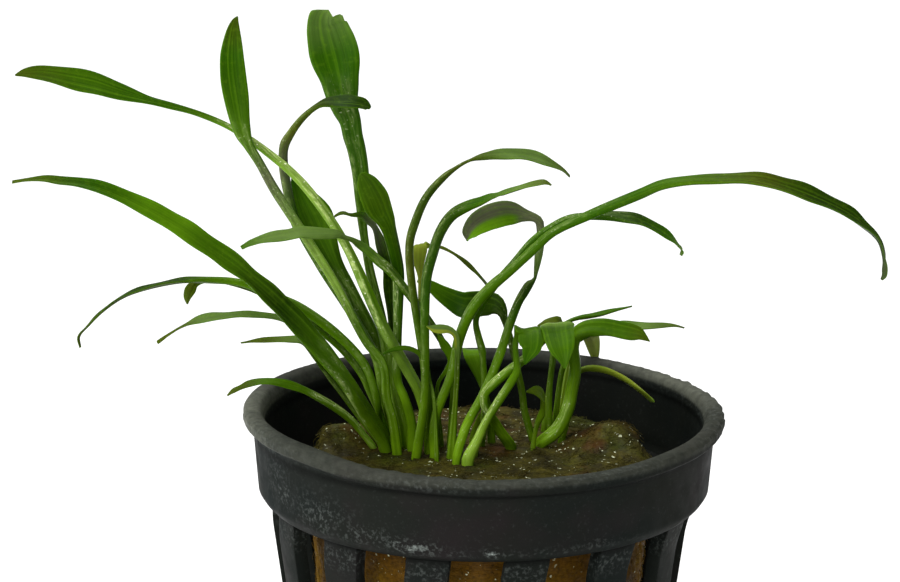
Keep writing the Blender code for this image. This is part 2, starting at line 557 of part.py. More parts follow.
def stations(leaf):
    """(share of length, place, direction) at stations that crowd together in bends and tips."""
    course = smooth_course(leaf["route"])
    lengths = [0.0]
    for start, end in zip(course, course[1:]):
        lengths.append(lengths[-1] + (end - start).length)
    widths = [half_width_at(leaf, length / lengths[-1]) for length in lengths]
    measures = [0.0]
    heading = course[1] - course[0]
    for index in range(1, len(course)):
        step = course[index] - course[index - 1]
        turn = heading.angle(step)
        heading = step
        widening = abs(widths[index] - widths[index - 1])
        measures.append(measures[-1] + step.length + BEND_WEIGHT * turn + WIDTH_WEIGHT * widening)
    count = min(max(round(measures[-1] / STATION_SPACING), FEWEST_STATIONS), MOST_STATIONS)
    result = []
    index = 0
    for number in range(count):
        goal = measures[-1] * number / (count - 1)
        while index < len(measures) - 2 and measures[index + 1] < goal:
            index += 1
        share = (goal - measures[index]) / (measures[index + 1] - measures[index])
        place = course[index].lerp(course[index + 1], share)
        direction = course[min(index + 2, len(course) - 1)] - course[max(index - 1, 0)]
        result.append((blend(lengths[index], lengths[index + 1], share) / lengths[-1], place, direction))
    return result


def leaf_ring(leaf, share, place, direction):
    """Six corners of the leaf's section: a rounded stalk that flattens into a folded blade."""
    opened = smoothstep(leaf["opens"], leaf["widest"], share)
    closing = max((share - leaf["widest"]) / (1.0 - leaf["widest"]), 0.0)
    half_width = half_width_at(leaf, share)
    stalk = 0.5 * leaf["stalk"]
    thinning = 1.0 - TIP_THINNING * closing
    edge = blend(STALK_EDGE * stalk, BLADE_EDGE, opened) * thinning
    core = blend(stalk, BLADE_CORE, opened) * thinning
    fold = BLADE_FOLD * opened * half_width
    turned = max((share - leaf["opens"]) / (1.0 - leaf["opens"]), 0.0)
    foot_across = Vector(leaf["across"]).normalized()
    tip_across = Vector(leaf.get("tip_across", leaf["across"])).normalized()
    along = direction.normalized()
    across = foot_across.lerp(tip_across, turned)
    across = (across - across.dot(along) * along).normalized()
    face = along.cross(across)
    section = ((-half_width, edge), (0.0, core - fold), (half_width, edge),
               (half_width, -edge), (0.0, -core - fold), (-half_width, -edge))
    return [place + across * wide + face * high for wide, high in section]


def build_leaf(name, leaf):
    """A closed solid lofted through the leaf's sections, its foot cut level above its crown."""
    bm = bmesh.new()
    rings = []
    for number, (share, place, direction) in enumerate(stations(leaf)):
        if number == 0:
            direction = Vector((0.0, 0.0, 1.0))
        rings.append([bm.verts.new(corner) for corner in leaf_ring(leaf, share, place, direction)])
    bm.faces.new(reversed(rings[0]))
    join_rings(bm, rings)
    bm.faces.new(rings[-1])
    bmesh.ops.recalc_face_normals(bm, faces=bm.faces)
    return make_object(name, bm, leaf["finish"])


def main():
    clear_scene()
    plant = bpy.data.objects.new("potted_cryptocoryne", None)
    bpy.context.scene.collection.objects.link(plant)
    pieces = [build_pot(), build_wool()]
    for name, (right, back, radius) in CROWNS.items():
        pieces.append(build_crown(name, right, back, radius))
    for name, leaf in LEAVES.items():
        pieces.append(build_leaf(name, leaf))
    for piece in pieces:
        piece.parent = plant


main()
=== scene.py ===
"""Potted cryptocoryne, dressed: the fine leaves, wet rock wool and worn net pot of a young aquarium plant.

Every piece lies in the part's own frame: +Z up, +X to the plant's right, -Y towards the viewer, with
the origin under the middle of the pot. Lengths in the tables are millimetres.
"""

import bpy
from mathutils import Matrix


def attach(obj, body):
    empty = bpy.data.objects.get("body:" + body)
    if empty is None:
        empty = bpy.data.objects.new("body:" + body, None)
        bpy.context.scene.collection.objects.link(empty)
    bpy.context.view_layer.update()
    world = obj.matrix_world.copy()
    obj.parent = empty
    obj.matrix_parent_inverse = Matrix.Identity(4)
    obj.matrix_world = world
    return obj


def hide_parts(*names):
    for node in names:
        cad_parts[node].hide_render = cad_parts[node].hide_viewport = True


bl_info = {
    "name": "Potted cryptocoryne",
    "version": (1, 0, 0),
    "blender": (4, 5, 0),
    "location": "View3D > Sidebar > Cryptocoryne",
    "description": "Dresses the packed net pot, rock wool plug and leaves of a potted cryptocoryne",
    "category": "Object",
}

import math

import bmesh
import bpy
import numpy as np
from bpy.props import FloatProperty, FloatVectorProperty, IntProperty, PointerProperty
from mathutils import Vector, noise

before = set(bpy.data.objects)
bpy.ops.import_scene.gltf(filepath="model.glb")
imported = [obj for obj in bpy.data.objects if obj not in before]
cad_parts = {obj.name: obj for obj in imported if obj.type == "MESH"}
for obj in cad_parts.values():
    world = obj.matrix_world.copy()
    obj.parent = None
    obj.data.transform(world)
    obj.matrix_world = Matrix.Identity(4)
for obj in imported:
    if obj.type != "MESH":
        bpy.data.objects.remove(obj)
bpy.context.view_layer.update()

MM = 0.001
BODY = "root"


def shade(red, green, blue):
    """A colour named by its display values from 0 to 255, as scene-linear numbers."""
    linear = []
    for value in (red, green, blue):
        share = value / 255.0
        linear.append(share / 12.92 if share <= 0.04045 else ((share + 0.055) / 1.055) ** 2.4)
    return tuple(linear)


def smoothstep(low, high, value):
    """Ease from 0 at low to 1 at high."""
    share = np.clip((value - low) / max(high - low, 1e-6), 0.0, 1.0)
    return share * share * (3.0 - 2.0 * share)


def blend(low, high, share):
    return low + (high - low) * share


# Leaves

TIP_HALF_WIDTH = 0.09
COURSE_STEPS = 24
SECTION_COLUMNS = 13
FOOT_DROP = 0.3
SHEATH_GROWTH = 0.18
SHEATH_HEIGHT = 5.0
NOTCH_PLACE = 0.5
NOTCH_SPREAD = 0.5
# Painted light on the stalks: painted highlights face LIGHT_SIDE, SHADY_SIDE sets the painted shade on the
# side turned from it, and FOOT_GLOW how far the lime at the foot, partly painted light, reaches
LIGHT_SIDE = (-0.42, -0.5, 0.76)
SHADY_SIDE = 0.5
FOOT_GLOW = 10.0

# Each leaf: its stalk's thickness, the shares of its length where the stalk starts and ends
# flattening into the blade, the way its width lies (at its foot, and at its tip if that differs),
# its finish, and its route from the crown to the tip as (right, back, up, width).
# Tints keyed grey and violet grey paint the sheen of reflected light; wet gives (from share, to share, most)
# for the painted highlights along the stalk's lit side.
LEAVES = {
    "leaf_long_upper_left": {
        "stalk": 1.3, "opens": 0.66, "widest": 0.8, "across": (0, 0.6, 0.8),
        "finish": "green",
        "route": ((-5.7, 3, 44.9, 1.4), (-6.2, 2, 49, 1.4), (-7, 0.9, 52.2, 1.4),
                  (-10.8, -1.7, 60.1, 1.6), (-12.8, -1.6, 64.7, 1.4), (-14.8, -1.9, 69.4, 1.1),
                  (-16.8, -2.4, 73, 1.1), (-20.2, -3.1, 77.7, 1), (-23.8, -3.5, 81, 0.9),
                  (-27.5, -3.7, 83.6, 0.7), (-31, -3.8, 85.2, 0.7), (-34.2, -4.1, 86.2, 0.8),
                  (-36.9, -4.5, 87, 1.2), (-39.6, -4.9, 87.9, 2.1), (-42.2, -5.5, 88.9, 2.8),
                  (-44.8, -6.2, 89.6, 2.6), (-47.7, -7.1, 90.3, 1.9), (-49.5, -7.7, 90.4, 1),
                  (-50.5, -8, 90.2, 0.2)),
        "tints": (("lime", 0), ("pale", 0.15), ("bright", 0.3), ("pale", 0.5), ("bright", 0.64),
                  ("fresh", 0.7), ("deep", 0.78), ("fresh", 0.9), ("olive", 1)),
        "wet": (0.2, 0.62, 1.0),
    },
    "leaf_upright_left": {
        "stalk": 1.2, "opens": 0.75, "widest": 0.88, "across": (1, 0.2, 0),
        "finish": "green",
        "route": ((-9.4, -1.2, 44.9, 1), (-10, -1.8, 49.7, 1), (-10.6, -2, 52.1, 1), (-11, -2.2, 56.2, 1),
                  (-12.8, -2.5, 58.8, 1), (-16.7, -4, 66.8, 1), (-22.7, -5.7, 77, 1.1),
                  (-24.4, -6.2, 80.3, 1), (-25.5, -6.5, 82.3, 1.2), (-26.1, -6.5, 83.7, 1.9),
                  (-26.7, -6.4, 87.2, 2.7), (-27, -6.1, 89.4, 2.9), (-27.2, -5.3, 91.4, 2.7),
                  (-27.2, -4.5, 93, 2.2), (-27.1, -3.7, 94.5, 1.5), (-26.9, -3.1, 95.5, 0.7),
                  (-26.7, -3, 95.9, 0.2)),
        "tints": (("bright", 0), ("fresh", 0.3), ("pale", 0.48), ("grey", 0.58), ("sheen_violet", 0.66),
                  ("fresh", 0.74), ("deep", 0.92), ("olive", 1)),
    },
    "leaf_long_strap_left": {
        "stalk": 1.8, "opens": 0.05, "widest": 0.55, "across": (0, 0.7, 0.7),
        "finish": "green", "fold": 0.5,
        "route": ((-10.6, 0.3, 44.9, 1.6), (-11, -0.5, 46.7, 1.8), (-12.8, -2.9, 50.5, 2.1),
                  (-15.1, -5.7, 55.3, 2.5), (-18.1, -7.7, 59.9, 3.3), (-21, -9.4, 63.9, 3.4),
                  (-24.4, -10.6, 67.7, 2.7), (-26.3, -11.3, 69.6, 2.7), (-28.4, -11.7, 71.3, 2.9),
                  (-30.5, -12.2, 72.9, 2.8), (-32.6, -12.5, 74.5, 2.7), (-36.8, -12.9, 77, 2.2),
                  (-41, -13.1, 78.9, 1.6), (-43.1, -13.2, 79.4, 1.4), (-45.3, -13.1, 79.6, 1.1),
                  (-46.9, -13, 79.8, 0.8), (-48.8, -12.6, 79.6, 0.6), (-50.6, -12, 79.2, 0.4)),
        "tints": (("bright", 0), ("fresh", 0.12), ("fresh", 0.3), ("dark", 0.42), ("fresh", 0.58),
                  ("bright", 0.7), ("deep", 0.85), ("olive", 1)), "wet": (0.02, 0.25, 0.5),
    },
    "leaf_arching_left": {
        "stalk": 1.3, "opens": 0.57, "widest": 0.74, "across": (0, 1, 0),
        "finish": "green",
        "route": ((-11.1, 6.6, 44.9, 0.7), (-11.6, 4.2, 48, 0.7), (-11.8, 2, 50.8, 1),
                  (-13.1, 1.3, 55.1, 1.1), (-16, 0.7, 58.7, 1.2), (-20.4, -1.2, 62.6, 1.2),
                  (-23.9, -3.1, 64.7, 1), (-26.7, -4.3, 66.2, 0.9), (-29.6, -5.3, 66.8, 1.1),
                  (-33.4, -6.2, 67, 1.5), (-37.8, -6.7, 66.1, 1.4), (-40, -7, 65.2, 1),
                  (-42.2, -7.5, 63.6, 0.6), (-43.5, -7.8, 62.3, 0.7), (-44.6, -8, 61, 0.7),
                  (-44.5, -8, 59.7, 0.5)),
        "tints": (("bright", 0), ("bright", 0.6), ("dark", 0.72), ("dark", 0.88), ("olive", 1)),
    },
    "leaf_small_arch_left": {
        "stalk": 1.1, "opens": 0.6, "widest": 0.8, "across": (0, 1, 0), "tip_across": (1, 0, 0),
        "finish": "green",
        "route": ((-10.6, 8, 44.9, 0.6), (-12.7, 5, 50.9, 0.9), (-13.6, 4.2, 53.3, 1),
                  (-16.1, 3, 56.9, 1), (-20.5, 1, 61.1, 1), (-24.7, -1, 64.2, 1),
                  (-27.1, -1.8, 65.3, 0.7), (-29.8, -2.6, 66, 0.5), (-31.1, -3.1, 66.1, 0.5),
                  (-32, -3.5, 65.9, 0.9), (-32.5, -3.9, 65.3, 1.3), (-32.8, -4.3, 64.5, 0.9),
                  (-32.8, -4.5, 63.8, 0.2)),
        "tints": (("bright", 0), ("fresh", 0.5), ("olive", 0.9), ("olive", 1)),
    },
    "leaf_low_left": {
        "stalk": 0.8, "opens": 0.5, "widest": 0.75, "across": (0, 0.9, 0.45),
        "finish": "green",
        "route": ((-10.5, 3.7, 44.9, 0.7), (-12, 3.1, 46.8, 0.7), (-13.1, 2.4, 48.1, 0.7),
                  (-15.5, 1, 52, 0.7), (-18, -1, 56.4, 0.7), (-20.3, -3, 60.4, 0.7),
                  (-22.1, -4.1, 62, 0.9), (-25.2, -5.3, 62.8, 0.9), (-26.8, -5.9, 63, 1),
                  (-28.5, -6.2, 62.9, 1.3), (-30.1, -6.4, 62.8, 1.4), (-31.5, -6.6, 62.5, 1.2),
                  (-32.6, -6.8, 62.1, 0.7), (-33.7, -6.9, 61.6, 0.4), (-36, -7, 60, 0.5)),
        "tints": (("fresh", 0), ("dark", 0.3), ("dark", 0.5), ("grey", 0.62), ("grey", 0.85),
                  ("olive", 0.92), ("olive", 1)),
    },
    "leaf_short_left": {
        "stalk": 0.7, "opens": 0.5, "widest": 0.75, "across": (0, 1, 0.3),
        "finish": "green",
        "route": ((-11.1, 2.4, 44.9, 0.6), (-13.5, 0.8, 48.6, 0.6), (-16.2, -1.6, 53.2, 0.6),
                  (-18.3, -3.8, 57.1, 1.1), (-20, -5.3, 59.8, 1.3), (-21.3, -5.9, 60.1, 1.6),
                  (-23.5, -6.5, 60.2, 1), (-24.8, -6.8, 60.2, 0.7), (-26.7, -7, 60, 0.3)),
        "tints": (("fresh", 0), ("dark", 0.3), ("dark", 0.6), ("grey", 0.75), ("olive", 0.9), ("olive", 1)),
    },
    "leaf_over_rim_left": {
        "stalk": 0.9, "opens": 0.4, "widest": 0.7, "across": (0, 1, 0.5),
        "finish": "green",
        "route": ((-11.9, 1.3, 44.9, 0.8), (-13.3, 0.2, 47.1, 0.7), (-14.8, -1.2, 49.4, 0.9),
                  (-17.6, -3.1, 52.1, 1), (-20.9, -4.4, 54.2, 1.2), (-23.9, -5, 55, 1.2),
                  (-25.9, -5.3, 54.8, 1.1), (-27, -5.6, 54.4, 0.6), (-27.7, -5.7, 54.1, 0.8),
                  (-28.4, -6, 53.6, 0.4)),
        "tints": (("pale", 0), ("bright", 0.2), ("fresh", 0.45), ("fresh", 0.8), ("olive", 0.9),
                  ("olive", 1)),
        "wet": (0.02, 0.5, 0.9),
    },
    "leaf_level_grey_green": {
        "stalk": 0.9, "opens": 0.75, "widest": 0.89, "across": (0, 0.9, 0.45),
        "finish": "grey green",
        "route": ((-3.4, 1.3, 44.9, 0.8), (-3.1, 1.4, 49.7, 0.8), (-3.3, 1.6, 55.7, 0.8),
                  (-9.1, -1, 65.5, 1.6), (-10.2, -1.4, 67, 1.7), (-11.5, -1.8, 68.2, 1.7),
                  (-12.6, -2.3, 69.4, 1.5), (-13.5, -2.8, 70.2, 1), (-14.3, -3.8, 71, 0.6),
                  (-15.2, -5, 71.6, 0.6), (-15.8, -5.8, 72.1, 1), (-16.7, -6.5, 72.3, 1.4),
                  (-18.8, -7.8, 72.7, 1.9), (-19.9, -8.5, 72.9, 2), (-20.9, -9.1, 72.8, 1.8),
                  (-23, -10.1, 72.7, 1.6), (-24.1, -10.4, 72.5, 1.5), (-25, -10.6, 72.2, 1.4),
                  (-25.5, -10.8, 72, 1.1), (-26.1, -11, 71.7, 0.8)),
        "tints": (("fresh", 0), ("dark", 0.3), ("fresh", 0.45), ("fresh", 0.6), ("grey", 0.7),
                  ("grey", 0.92), ("fresh", 1)), "wet": (0.3, 0.55, 0.5),
    },
    "leaf_tall_blunt": {
        "stalk": 1.5, "opens": 0.79, "widest": 0.92, "across": (1, 0.1, 0),
        "finish": "green", "notch": 0.75, "fold": 0.2,
        "route": ((-8.4, 1.6, 44.9, 1.3), (-9.2, 1.4, 49.3, 1.3), (-9.9, 1.5, 52.1, 1.3),
                  (-10.5, 2.2, 55.5, 1.3), (-11.2, 2.8, 59.5, 1.3), (-12.8, 3.2, 67.1, 1),
                  (-13.3, 3.3, 70.6, 1), (-13.4, 3.2, 72, 1.2), (-13.3, 3.2, 73.5, 1.7),
                  (-13.6, 2.9, 77.6, 2), (-14, 2.7, 80.2, 2.1), (-14.4, 2.6, 81.7, 2.3),
                  (-14.7, 2.5, 83.4, 2.5), (-15.2, 2.5, 84.8, 3), (-15.5, 2.5, 86.2, 3.7),
                  (-15.8, 2.6, 88, 4.4), (-16.1, 2.9, 89.6, 5.3), (-16.5, 3.4, 91.3, 5.5),
                  (-16.9, 4.1, 92.7, 5.3), (-17.2, 4.7, 93.8, 4.8), (-17.3, 4.9, 94.4, 4.3),
                  (-17.2, 5.2, 95, 3.8), (-17.1, 5.4, 95.3, 2.9), (-17.1, 5.5, 95.5, 1.1)),
        "tints": (("bright", 0), ("fresh", 0.2), ("fresh", 0.5), ("deep", 0.66), ("deep", 0.9),
                  ("grey", 1)), "under": "dark",
    },
    "leaf_tall_hooked": {
        "stalk": 1.2, "opens": 0.82, "widest": 0.93, "across": (0, 0.85, 0.5),
        "finish": "green",
        "route": ((-9.8, 7.1, 44.9, 1.1), (-11.3, 3.2, 51.6, 1.1), (-11.9, 3.1, 55.3, 1.1),
                  (-14.6, 1.8, 60.9, 1.1), (-18.4, 0.5, 67.5, 1.1), (-21, -0.3, 73.1, 1.1),
                  (-22.1, -0.6, 80.6, 1.3), (-21.2, -0.7, 82.5, 1), (-19.7, -0.8, 84.4, 0.8),
                  (-17.9, -1, 85.8, 0.9), (-16.8, -1, 86.1, 1.6), (-14.5, -1, 86.2, 2.5),
                  (-13.4, -0.8, 86, 2.1), (-12.7, -0.4, 85.7, 1.7), (-12.3, -0.3, 85.3, 0.5)),
        "tints": (("bright", 0), ("fresh", 0.3), ("deep", 0.6), ("sheen_violet", 0.72), ("olive", 0.8),
                  ("dark", 0.92), ("dark", 1)),
    },
    "leaf_round_tip": {
        "stalk": 1.1, "opens": 0.58, "widest": 0.86, "across": (1, 0, 0.6),
        "finish": "green",
        "route": ((-7.8, 0.2, 44.9, 1), (-7.8, -0.2, 48.4, 1), (-8.6, -0.4, 51.7, 1),
                  (-9.4, 0.3, 53.5, 1), (-9.4, 0.8, 58.5, 1), (-9.3, 0.7, 66.2, 1.4), (-9.7, -0.9, 69.2, 1.5),
                  (-10.2, -2.8, 71.9, 1.7), (-10.6, -3.9, 73.3, 2.2), (-11.2, -4.7, 74.6, 2.9),
                  (-11.6, -5.7, 75.9, 3.1), (-12.1, -6.6, 77.2, 2.9), (-12.6, -7.4, 78.4, 2.2),
                  (-13, -7.9, 79.1, 1.1), (-13.2, -8, 79.3, 0.5)),
        "tints": (("bright", 0), ("fresh", 0.3), ("deep", 0.5), ("deep", 1)),
        "wet": (0.25, 0.75, 0.6),
    },
    "leaf_dark_behind": {
        "stalk": 1.5, "opens": 0.62, "widest": 0.88, "across": (1, 0, 0.3),
        "finish": "dark green",
        "route": ((-9.6, 9.6, 44.9, 1.7), (-10.7, 7.6, 49.2, 1.7), (-12, 5.4, 56.4, 1.7),
                  (-14.1, 4, 61.6, 1.7), (-16.8, 2.6, 67, 2.3), (-19.4, 2, 72.8, 4.8),
                  (-21.2, 2, 76.9, 0.4)),
        "tints": (("fresh", 0), ("fresh", 0.8), ("deep", 1)),
    },
    "leaf_shrivelled": {
        "stalk": 1.1, "opens": 0.5, "widest": 0.7, "across": (1, 0, 0), "tip_across": (0, 0.8, 0.6),
        "finish": "dark green", "wave": 0.2,
        "route": ((-8.6, 5.3, 44.9, 1), (-9.3, 4.4, 48.6, 1), (-10, 4.5, 59.7, 1.2),
                  (-10.2, 4, 61.6, 1.2), (-10.4, 3.3, 63.5, 1.3), (-10.5, 1.7, 66.3, 1.3),
                  (-11.2, 0.8, 69.4, 1.3), (-11.7, 0.3, 71, 1.3), (-12.1, -0.2, 72, 1.2),
                  (-12.7, -0.6, 72.7, 1.2), (-13.5, -0.8, 73.3, 0.6), (-14.2, -0.8, 73.2, 0.4),
                  (-14.9, -0.7, 73.3, 0.4), (-15.4, -0.5, 73.4, 0.7), (-16, -0.2, 73.2, 0.9),
                  (-16.5, 0.2, 72.8, 0.7)),
        "tints": (("fresh", 0), ("dark", 0.3), ("dark", 0.7), ("sheen_violet", 0.84), ("dark", 0.9),
                  ("olive", 1)),
    },
    "leaf_top_arch": {
        "stalk": 1.15, "opens": 0.7, "widest": 0.85, "across": (0, 1, 0.3),
        "finish": "green",
        "route": ((-5.9, -0.2, 44.9, 1), (-6.1, -0.7, 52.7, 1), (-6.4, -1.2, 55.8, 1),
                  (-8, -3.3, 70, 1.1), (-7.3, -3.5, 73, 1.1), (-6, -3, 75.8, 1), (-4, -2.1, 77.9, 0.8),
                  (-2.8, -1.6, 78.7, 0.5), (-1.9, -1.2, 79.2, 0.4), (-1, -0.7, 79.5, 0.4),
                  (0, -0.2, 79.7, 0.9), (2.2, 1, 79.8, 2), (4.5, 2.3, 79.6, 2.6), (6.8, 3.6, 78.9, 2.5),
                  (8.9, 4.4, 77.8, 1.8), (9.7, 4.7, 77.2, 1.2), (10.3, 5, 76.5, 0.5)),
        "tints": (("bright", 0), ("fresh", 0.3), ("olive", 0.45), ("dark", 0.62), ("olive", 0.74),
                  ("grey", 0.82), ("grey", 0.92), ("olive", 1)),
    },
    "leaf_front_arch": {
        "stalk": 1.3, "opens": 0.71, "widest": 0.86, "across": (0, 1, 0.3),
        "finish": "green",
        "route": ((-7.4, -2.2, 44.9, 1.1), (-6.6, -3.2, 50.1, 1.1), (-6.3, -3.4, 53.5, 1.1),
                  (-6.1, -4, 66.4, 1.3), (-5.4, -4, 69.4, 1.4), (-4.5, -4, 72, 1.5),
                  (-3.2, -4.1, 73.9, 1.5), (-1.2, -4.8, 75.2, 1.7), (-0.1, -5.3, 75.7, 1.7),
                  (1, -5.7, 76.3, 1.1), (1.8, -6, 76.6, 0.5), (2.7, -6.3, 77, 1), (3.7, -6.7, 77.4, 1.2),
                  (5.9, -7.7, 78.2, 1), (7, -8, 78.4, 0.9), (7.7, -8, 78.1, 0.3)),
        "tints": (("bright", 0), ("fresh", 0.3), ("deep", 0.45), ("dark", 0.7), ("deep", 0.8),
                  ("grey", 0.9), ("olive", 1)),
    },
    "leaf_kinked": {
        "stalk": 1, "opens": 0.75, "widest": 0.87, "across": (0, 0.5, 0.85),
        "finish": "green",
        "route": ((-2.7, -5, 44.9, 0.9), (-2.6, -4.7, 46.1, 1), (-1.5, -3.8, 49.5, 1),
                  (0.5, -0.8, 52.4, 1.1), (2.2, -0.1, 56.5, 1.2), (3.6, 0.1, 60.8, 1.1),
                  (4.5, 0.2, 63.1, 1), (5.1, 0.3, 64.1, 1.1), (5.6, 0.3, 64.9, 1), (6.2, 0.4, 65.5, 0.4),
                  (6.4, 0.5, 66.5, 0.6), (6.6, 0.7, 67.7, 0.9), (6.9, 0.9, 69.9, 1.2),
                  (6.9, 1, 71.1, 1.1), (6.7, 1, 72.1, 1), (6.2, 1, 72.5, 1), (5.1, 0.9, 72.8, 1.5),
                  (3.9, 0.6, 73.1, 2.6), (2.8, 0.3, 73.2, 3.1), (1.7, 0, 73, 3.2),
                  (0.5, -0.4, 72.6, 2.9), (-0.4, -0.7, 72.1, 2.6), (-1, -0.9, 71.5, 2.2),
                  (-1.4, -1.1, 70.8, 1.7), (-1.5, -1.2, 70.3, 0.5)),
        "tints": (("bright", 0), ("bright", 0.35), ("fresh", 0.42), ("deep", 0.47), ("dark", 0.54),
                  ("dark", 0.58), ("grey", 0.64), ("sheen_violet", 0.72), ("sheen_violet", 1)), "lower_side": "bright",
    },
    "leaf_long_right": {
        "stalk": 1.3, "opens": 0.48, "widest": 0.82, "across": (0, 0.9, 0.4),
        "finish": "bright green", "fold": 0.4,
        "route": ((-5.2, -2.2, 44.9, 1.1), (-5.2, -2.2, 49.4, 1.1), (-3.2, -2.1, 55.2, 1.2),
                  (-2.4, -2.1, 59.2, 1.4), (-1, -3.2, 62.8, 1.6), (1.1, -4.5, 65.7, 1.3),
                  (3.5, -5.6, 68.1, 1.1), (5.9, -6.5, 70.6, 1.1), (7.9, -7.3, 72.6, 1),
                  (11.9, -8.7, 74.9, 1.1), (17.3, -9.9, 77.5, 1.3), (19.4, -10.2, 78.5, 1.3),
                  (21.5, -10.5, 79, 1.4), (25.8, -11, 79.4, 1.7), (30.1, -11.1, 79.4, 2.4),
                  (34.5, -11, 78.2, 3.2), (38.9, -11, 76.3, 2.7), (40.6, -11, 75.3, 2.5),
                  (41.9, -10.8, 74.2, 1.9), (43, -10.6, 73.2, 1.5), (43.6, -10.5, 72.3, 1),
                  (44, -10.4, 71.2, 1), (44.3, -10.2, 70, 1.3), (44.3, -10.1, 69.1, 1.5),
                  (44.2, -10, 68.4, 1), (43.9, -10, 67.9, 0.3)),
        "tints": (("bright", 0), ("bright", 0.15), ("fresh", 0.3), ("deep", 0.5), ("fresh", 0.62),
                  ("olive", 0.74), ("dark", 0.82), ("dark", 0.92), ("sheen_violet", 1)), "under": "dark",
    },
    "leaf_curled_right": {
        "stalk": 1, "opens": 0.79, "widest": 0.87, "across": (0, 0.9, 0.4),
        "finish": "green",
        "route": ((0.1, 2, 44.9, 0.9), (0.6, 1.2, 50.4, 0.9), (0.3, 0.4, 56.7, 0.9), (0.3, 0.4, 56.9, 1),
                  (-0.2, 0.1, 58.9, 0.9), (-0.5, -0.2, 60.6, 0.8), (-0.2, -0.5, 62, 0.9),
                  (1.5, -1.6, 65.1, 1), (3.7, -3.1, 68.1, 1), (5.7, -4.7, 71, 0.9),
                  (7.6, -5.6, 72.7, 0.9), (9.8, -6.4, 74, 0.9), (13.1, -6.9, 74.4, 1),
                  (15.3, -7.3, 74.4, 1.7), (17.5, -7.5, 74.1, 2.2), (19.7, -7.6, 73, 1.8),
                  (20.6, -7.6, 72.4, 1.7), (21.3, -7.5, 71.8, 1.2), (21.9, -7.3, 71.1, 0.8),
                  (22.3, -7.1, 70.6, 1.1), (22.1, -7, 70, 0.6)),
        "tints": (("bright", 0), ("fresh", 0.3), ("deep", 0.5), ("deep", 0.75), ("dark", 0.86),
                  ("deep", 0.94), ("grey", 1)), "under": "dark",
    },
    "leaf_olive_triangle": {
        "stalk": 0.8, "opens": 0.54, "widest": 0.63, "across": (1, 0, 0.3), "tip_across": (0, 1, 0.1),
        "finish": "olive",
        "route": ((-5.5, 4.9, 44.9, 0.7), (-5.7, 3.9, 50.2, 0.7), (-6.4, 2.8, 57.7, 0.7),
                  (-6.7, 2.4, 62.6, 0.7), (-6.8, 2.2, 65.3, 0.6), (-6.9, 2.2, 66.4, 1),
                  (-7, 2.3, 67.4, 1.6), (-6.9, 2.7, 68.4, 1.8), (-6.7, 3, 68.7, 1.9),
                  (-5.7, 3.8, 68.6, 0.5), (-4.4, 4.9, 68.2, 0.4), (-2.2, 6.8, 66.5, 0.5),
                  (0.1, 8, 64.1, 1), (1.5, 8.9, 62.1, 0.7)),
        "tints": (("fresh", 0), ("deep", 0.4), ("straw", 0.52), ("straw", 0.7), ("olive", 0.85),
                  ("olive", 1)),
    },
    "leaf_wide_behind": {
        "stalk": 0.9, "opens": 0.57, "widest": 0.76, "across": (0, 0.3, 1),
        "finish": "green",
        "route": ((6.4, 4.6, 44.9, 0.8), (6, 3.8, 46.4, 0.8), (5.3, 3, 49, 0.8), (4.9, 3, 51.7, 0.8),
                  (3.3, 3.8, 58.6, 0.8), (2.9, 3.9, 59.8, 0.8), (2.6, 4.1, 60.8, 1.4),
                  (1.8, 4.4, 61.5, 2.5), (0.6, 4.8, 61.6, 2.9), (-1.7, 5.5, 61.2, 3.1),
                  (-2.8, 5.8, 61.6, 2.6), (-4.6, 6.1, 62.6, 1.8), (-5.4, 6.1, 63.2, 1.4),
                  (-6.3, 6.1, 63.7, 1.1), (-7.1, 6.2, 64.1, 0.7)),
        "tints": (("fresh", 0), ("dark", 0.4), ("dark", 0.7), ("deep", 0.82), ("bright", 0.95),
                  ("bright", 1)),
    },
    "leaf_small_level_right": {
        "stalk": 0.8, "opens": 0.64, "widest": 0.83, "across": (0, 1, 0.2),
        "finish": "green",
        "route": ((8.3, 6, 44.9, 0.7), (8.2, 5.5, 49.8, 0.7), (8.4, 6, 53.3, 0.7), (9.2, 7, 57.8, 0.7),
                  (10.6, 7.6, 58.8, 0.5), (11.6, 7.8, 59.1, 0.6), (13.2, 8.3, 59.3, 1),
                  (14.2, 8.7, 59.4, 1.1), (16.1, 9.4, 59.7, 0.5), (18, 10, 60, 0.3)),
        "tints": (("fresh", 0), ("deep", 0.5), ("fresh", 1)),
    },
    "leaf_bent_stalk_right": {
        "stalk": 1.5, "opens": 0.59, "widest": 0.84, "across": (0, 0.7, 0.7),
        "finish": "bright green",
        "route": ((7, 2.2, 44.9, 1.3), (6.8, 2.2, 45.2, 1.2), (9, 2.3, 47.1, 1.6), (10.2, 2.7, 49.4, 1.6),
                  (10.7, 3.6, 51.5, 1.7), (11.1, 4.4, 53.7, 1.6), (10.9, 5, 56.5, 1.5),
                  (11.2, 5, 57.7, 1.8), (12.1, 5, 58.4, 2.1), (14.5, 5, 58.7, 2.4), (16.8, 5, 58.3, 2.4),
                  (17.8, 5, 58.1, 2.2), (18.6, 5, 57.9, 1.7), (19.3, 5, 57.4, 0.9), (19.8, 5, 57, 0.2)),
        "tints": (("bright", 0), ("bright", 0.2), ("fresh", 0.3), ("fresh", 0.6), ("fresh", 0.85),
                  ("olive", 1)), "wet": (0.04, 0.25, 0.5),
    },
    "leaf_back_right": {
        "stalk": 0.8, "opens": 0.55, "widest": 0.79, "across": (0, 0.95, 0.3),
        "finish": "green",
        "route": ((8.8, 7.6, 44.9, 0.7), (9.1, 7.5, 48, 0.7), (9.8, 8.5, 52.6, 0.7), (11, 9.5, 55.4, 0.7),
                  (15.8, 11.5, 57.2, 1.2), (18.9, 12.4, 57, 1.9), (20.4, 12.7, 56.9, 1.6),
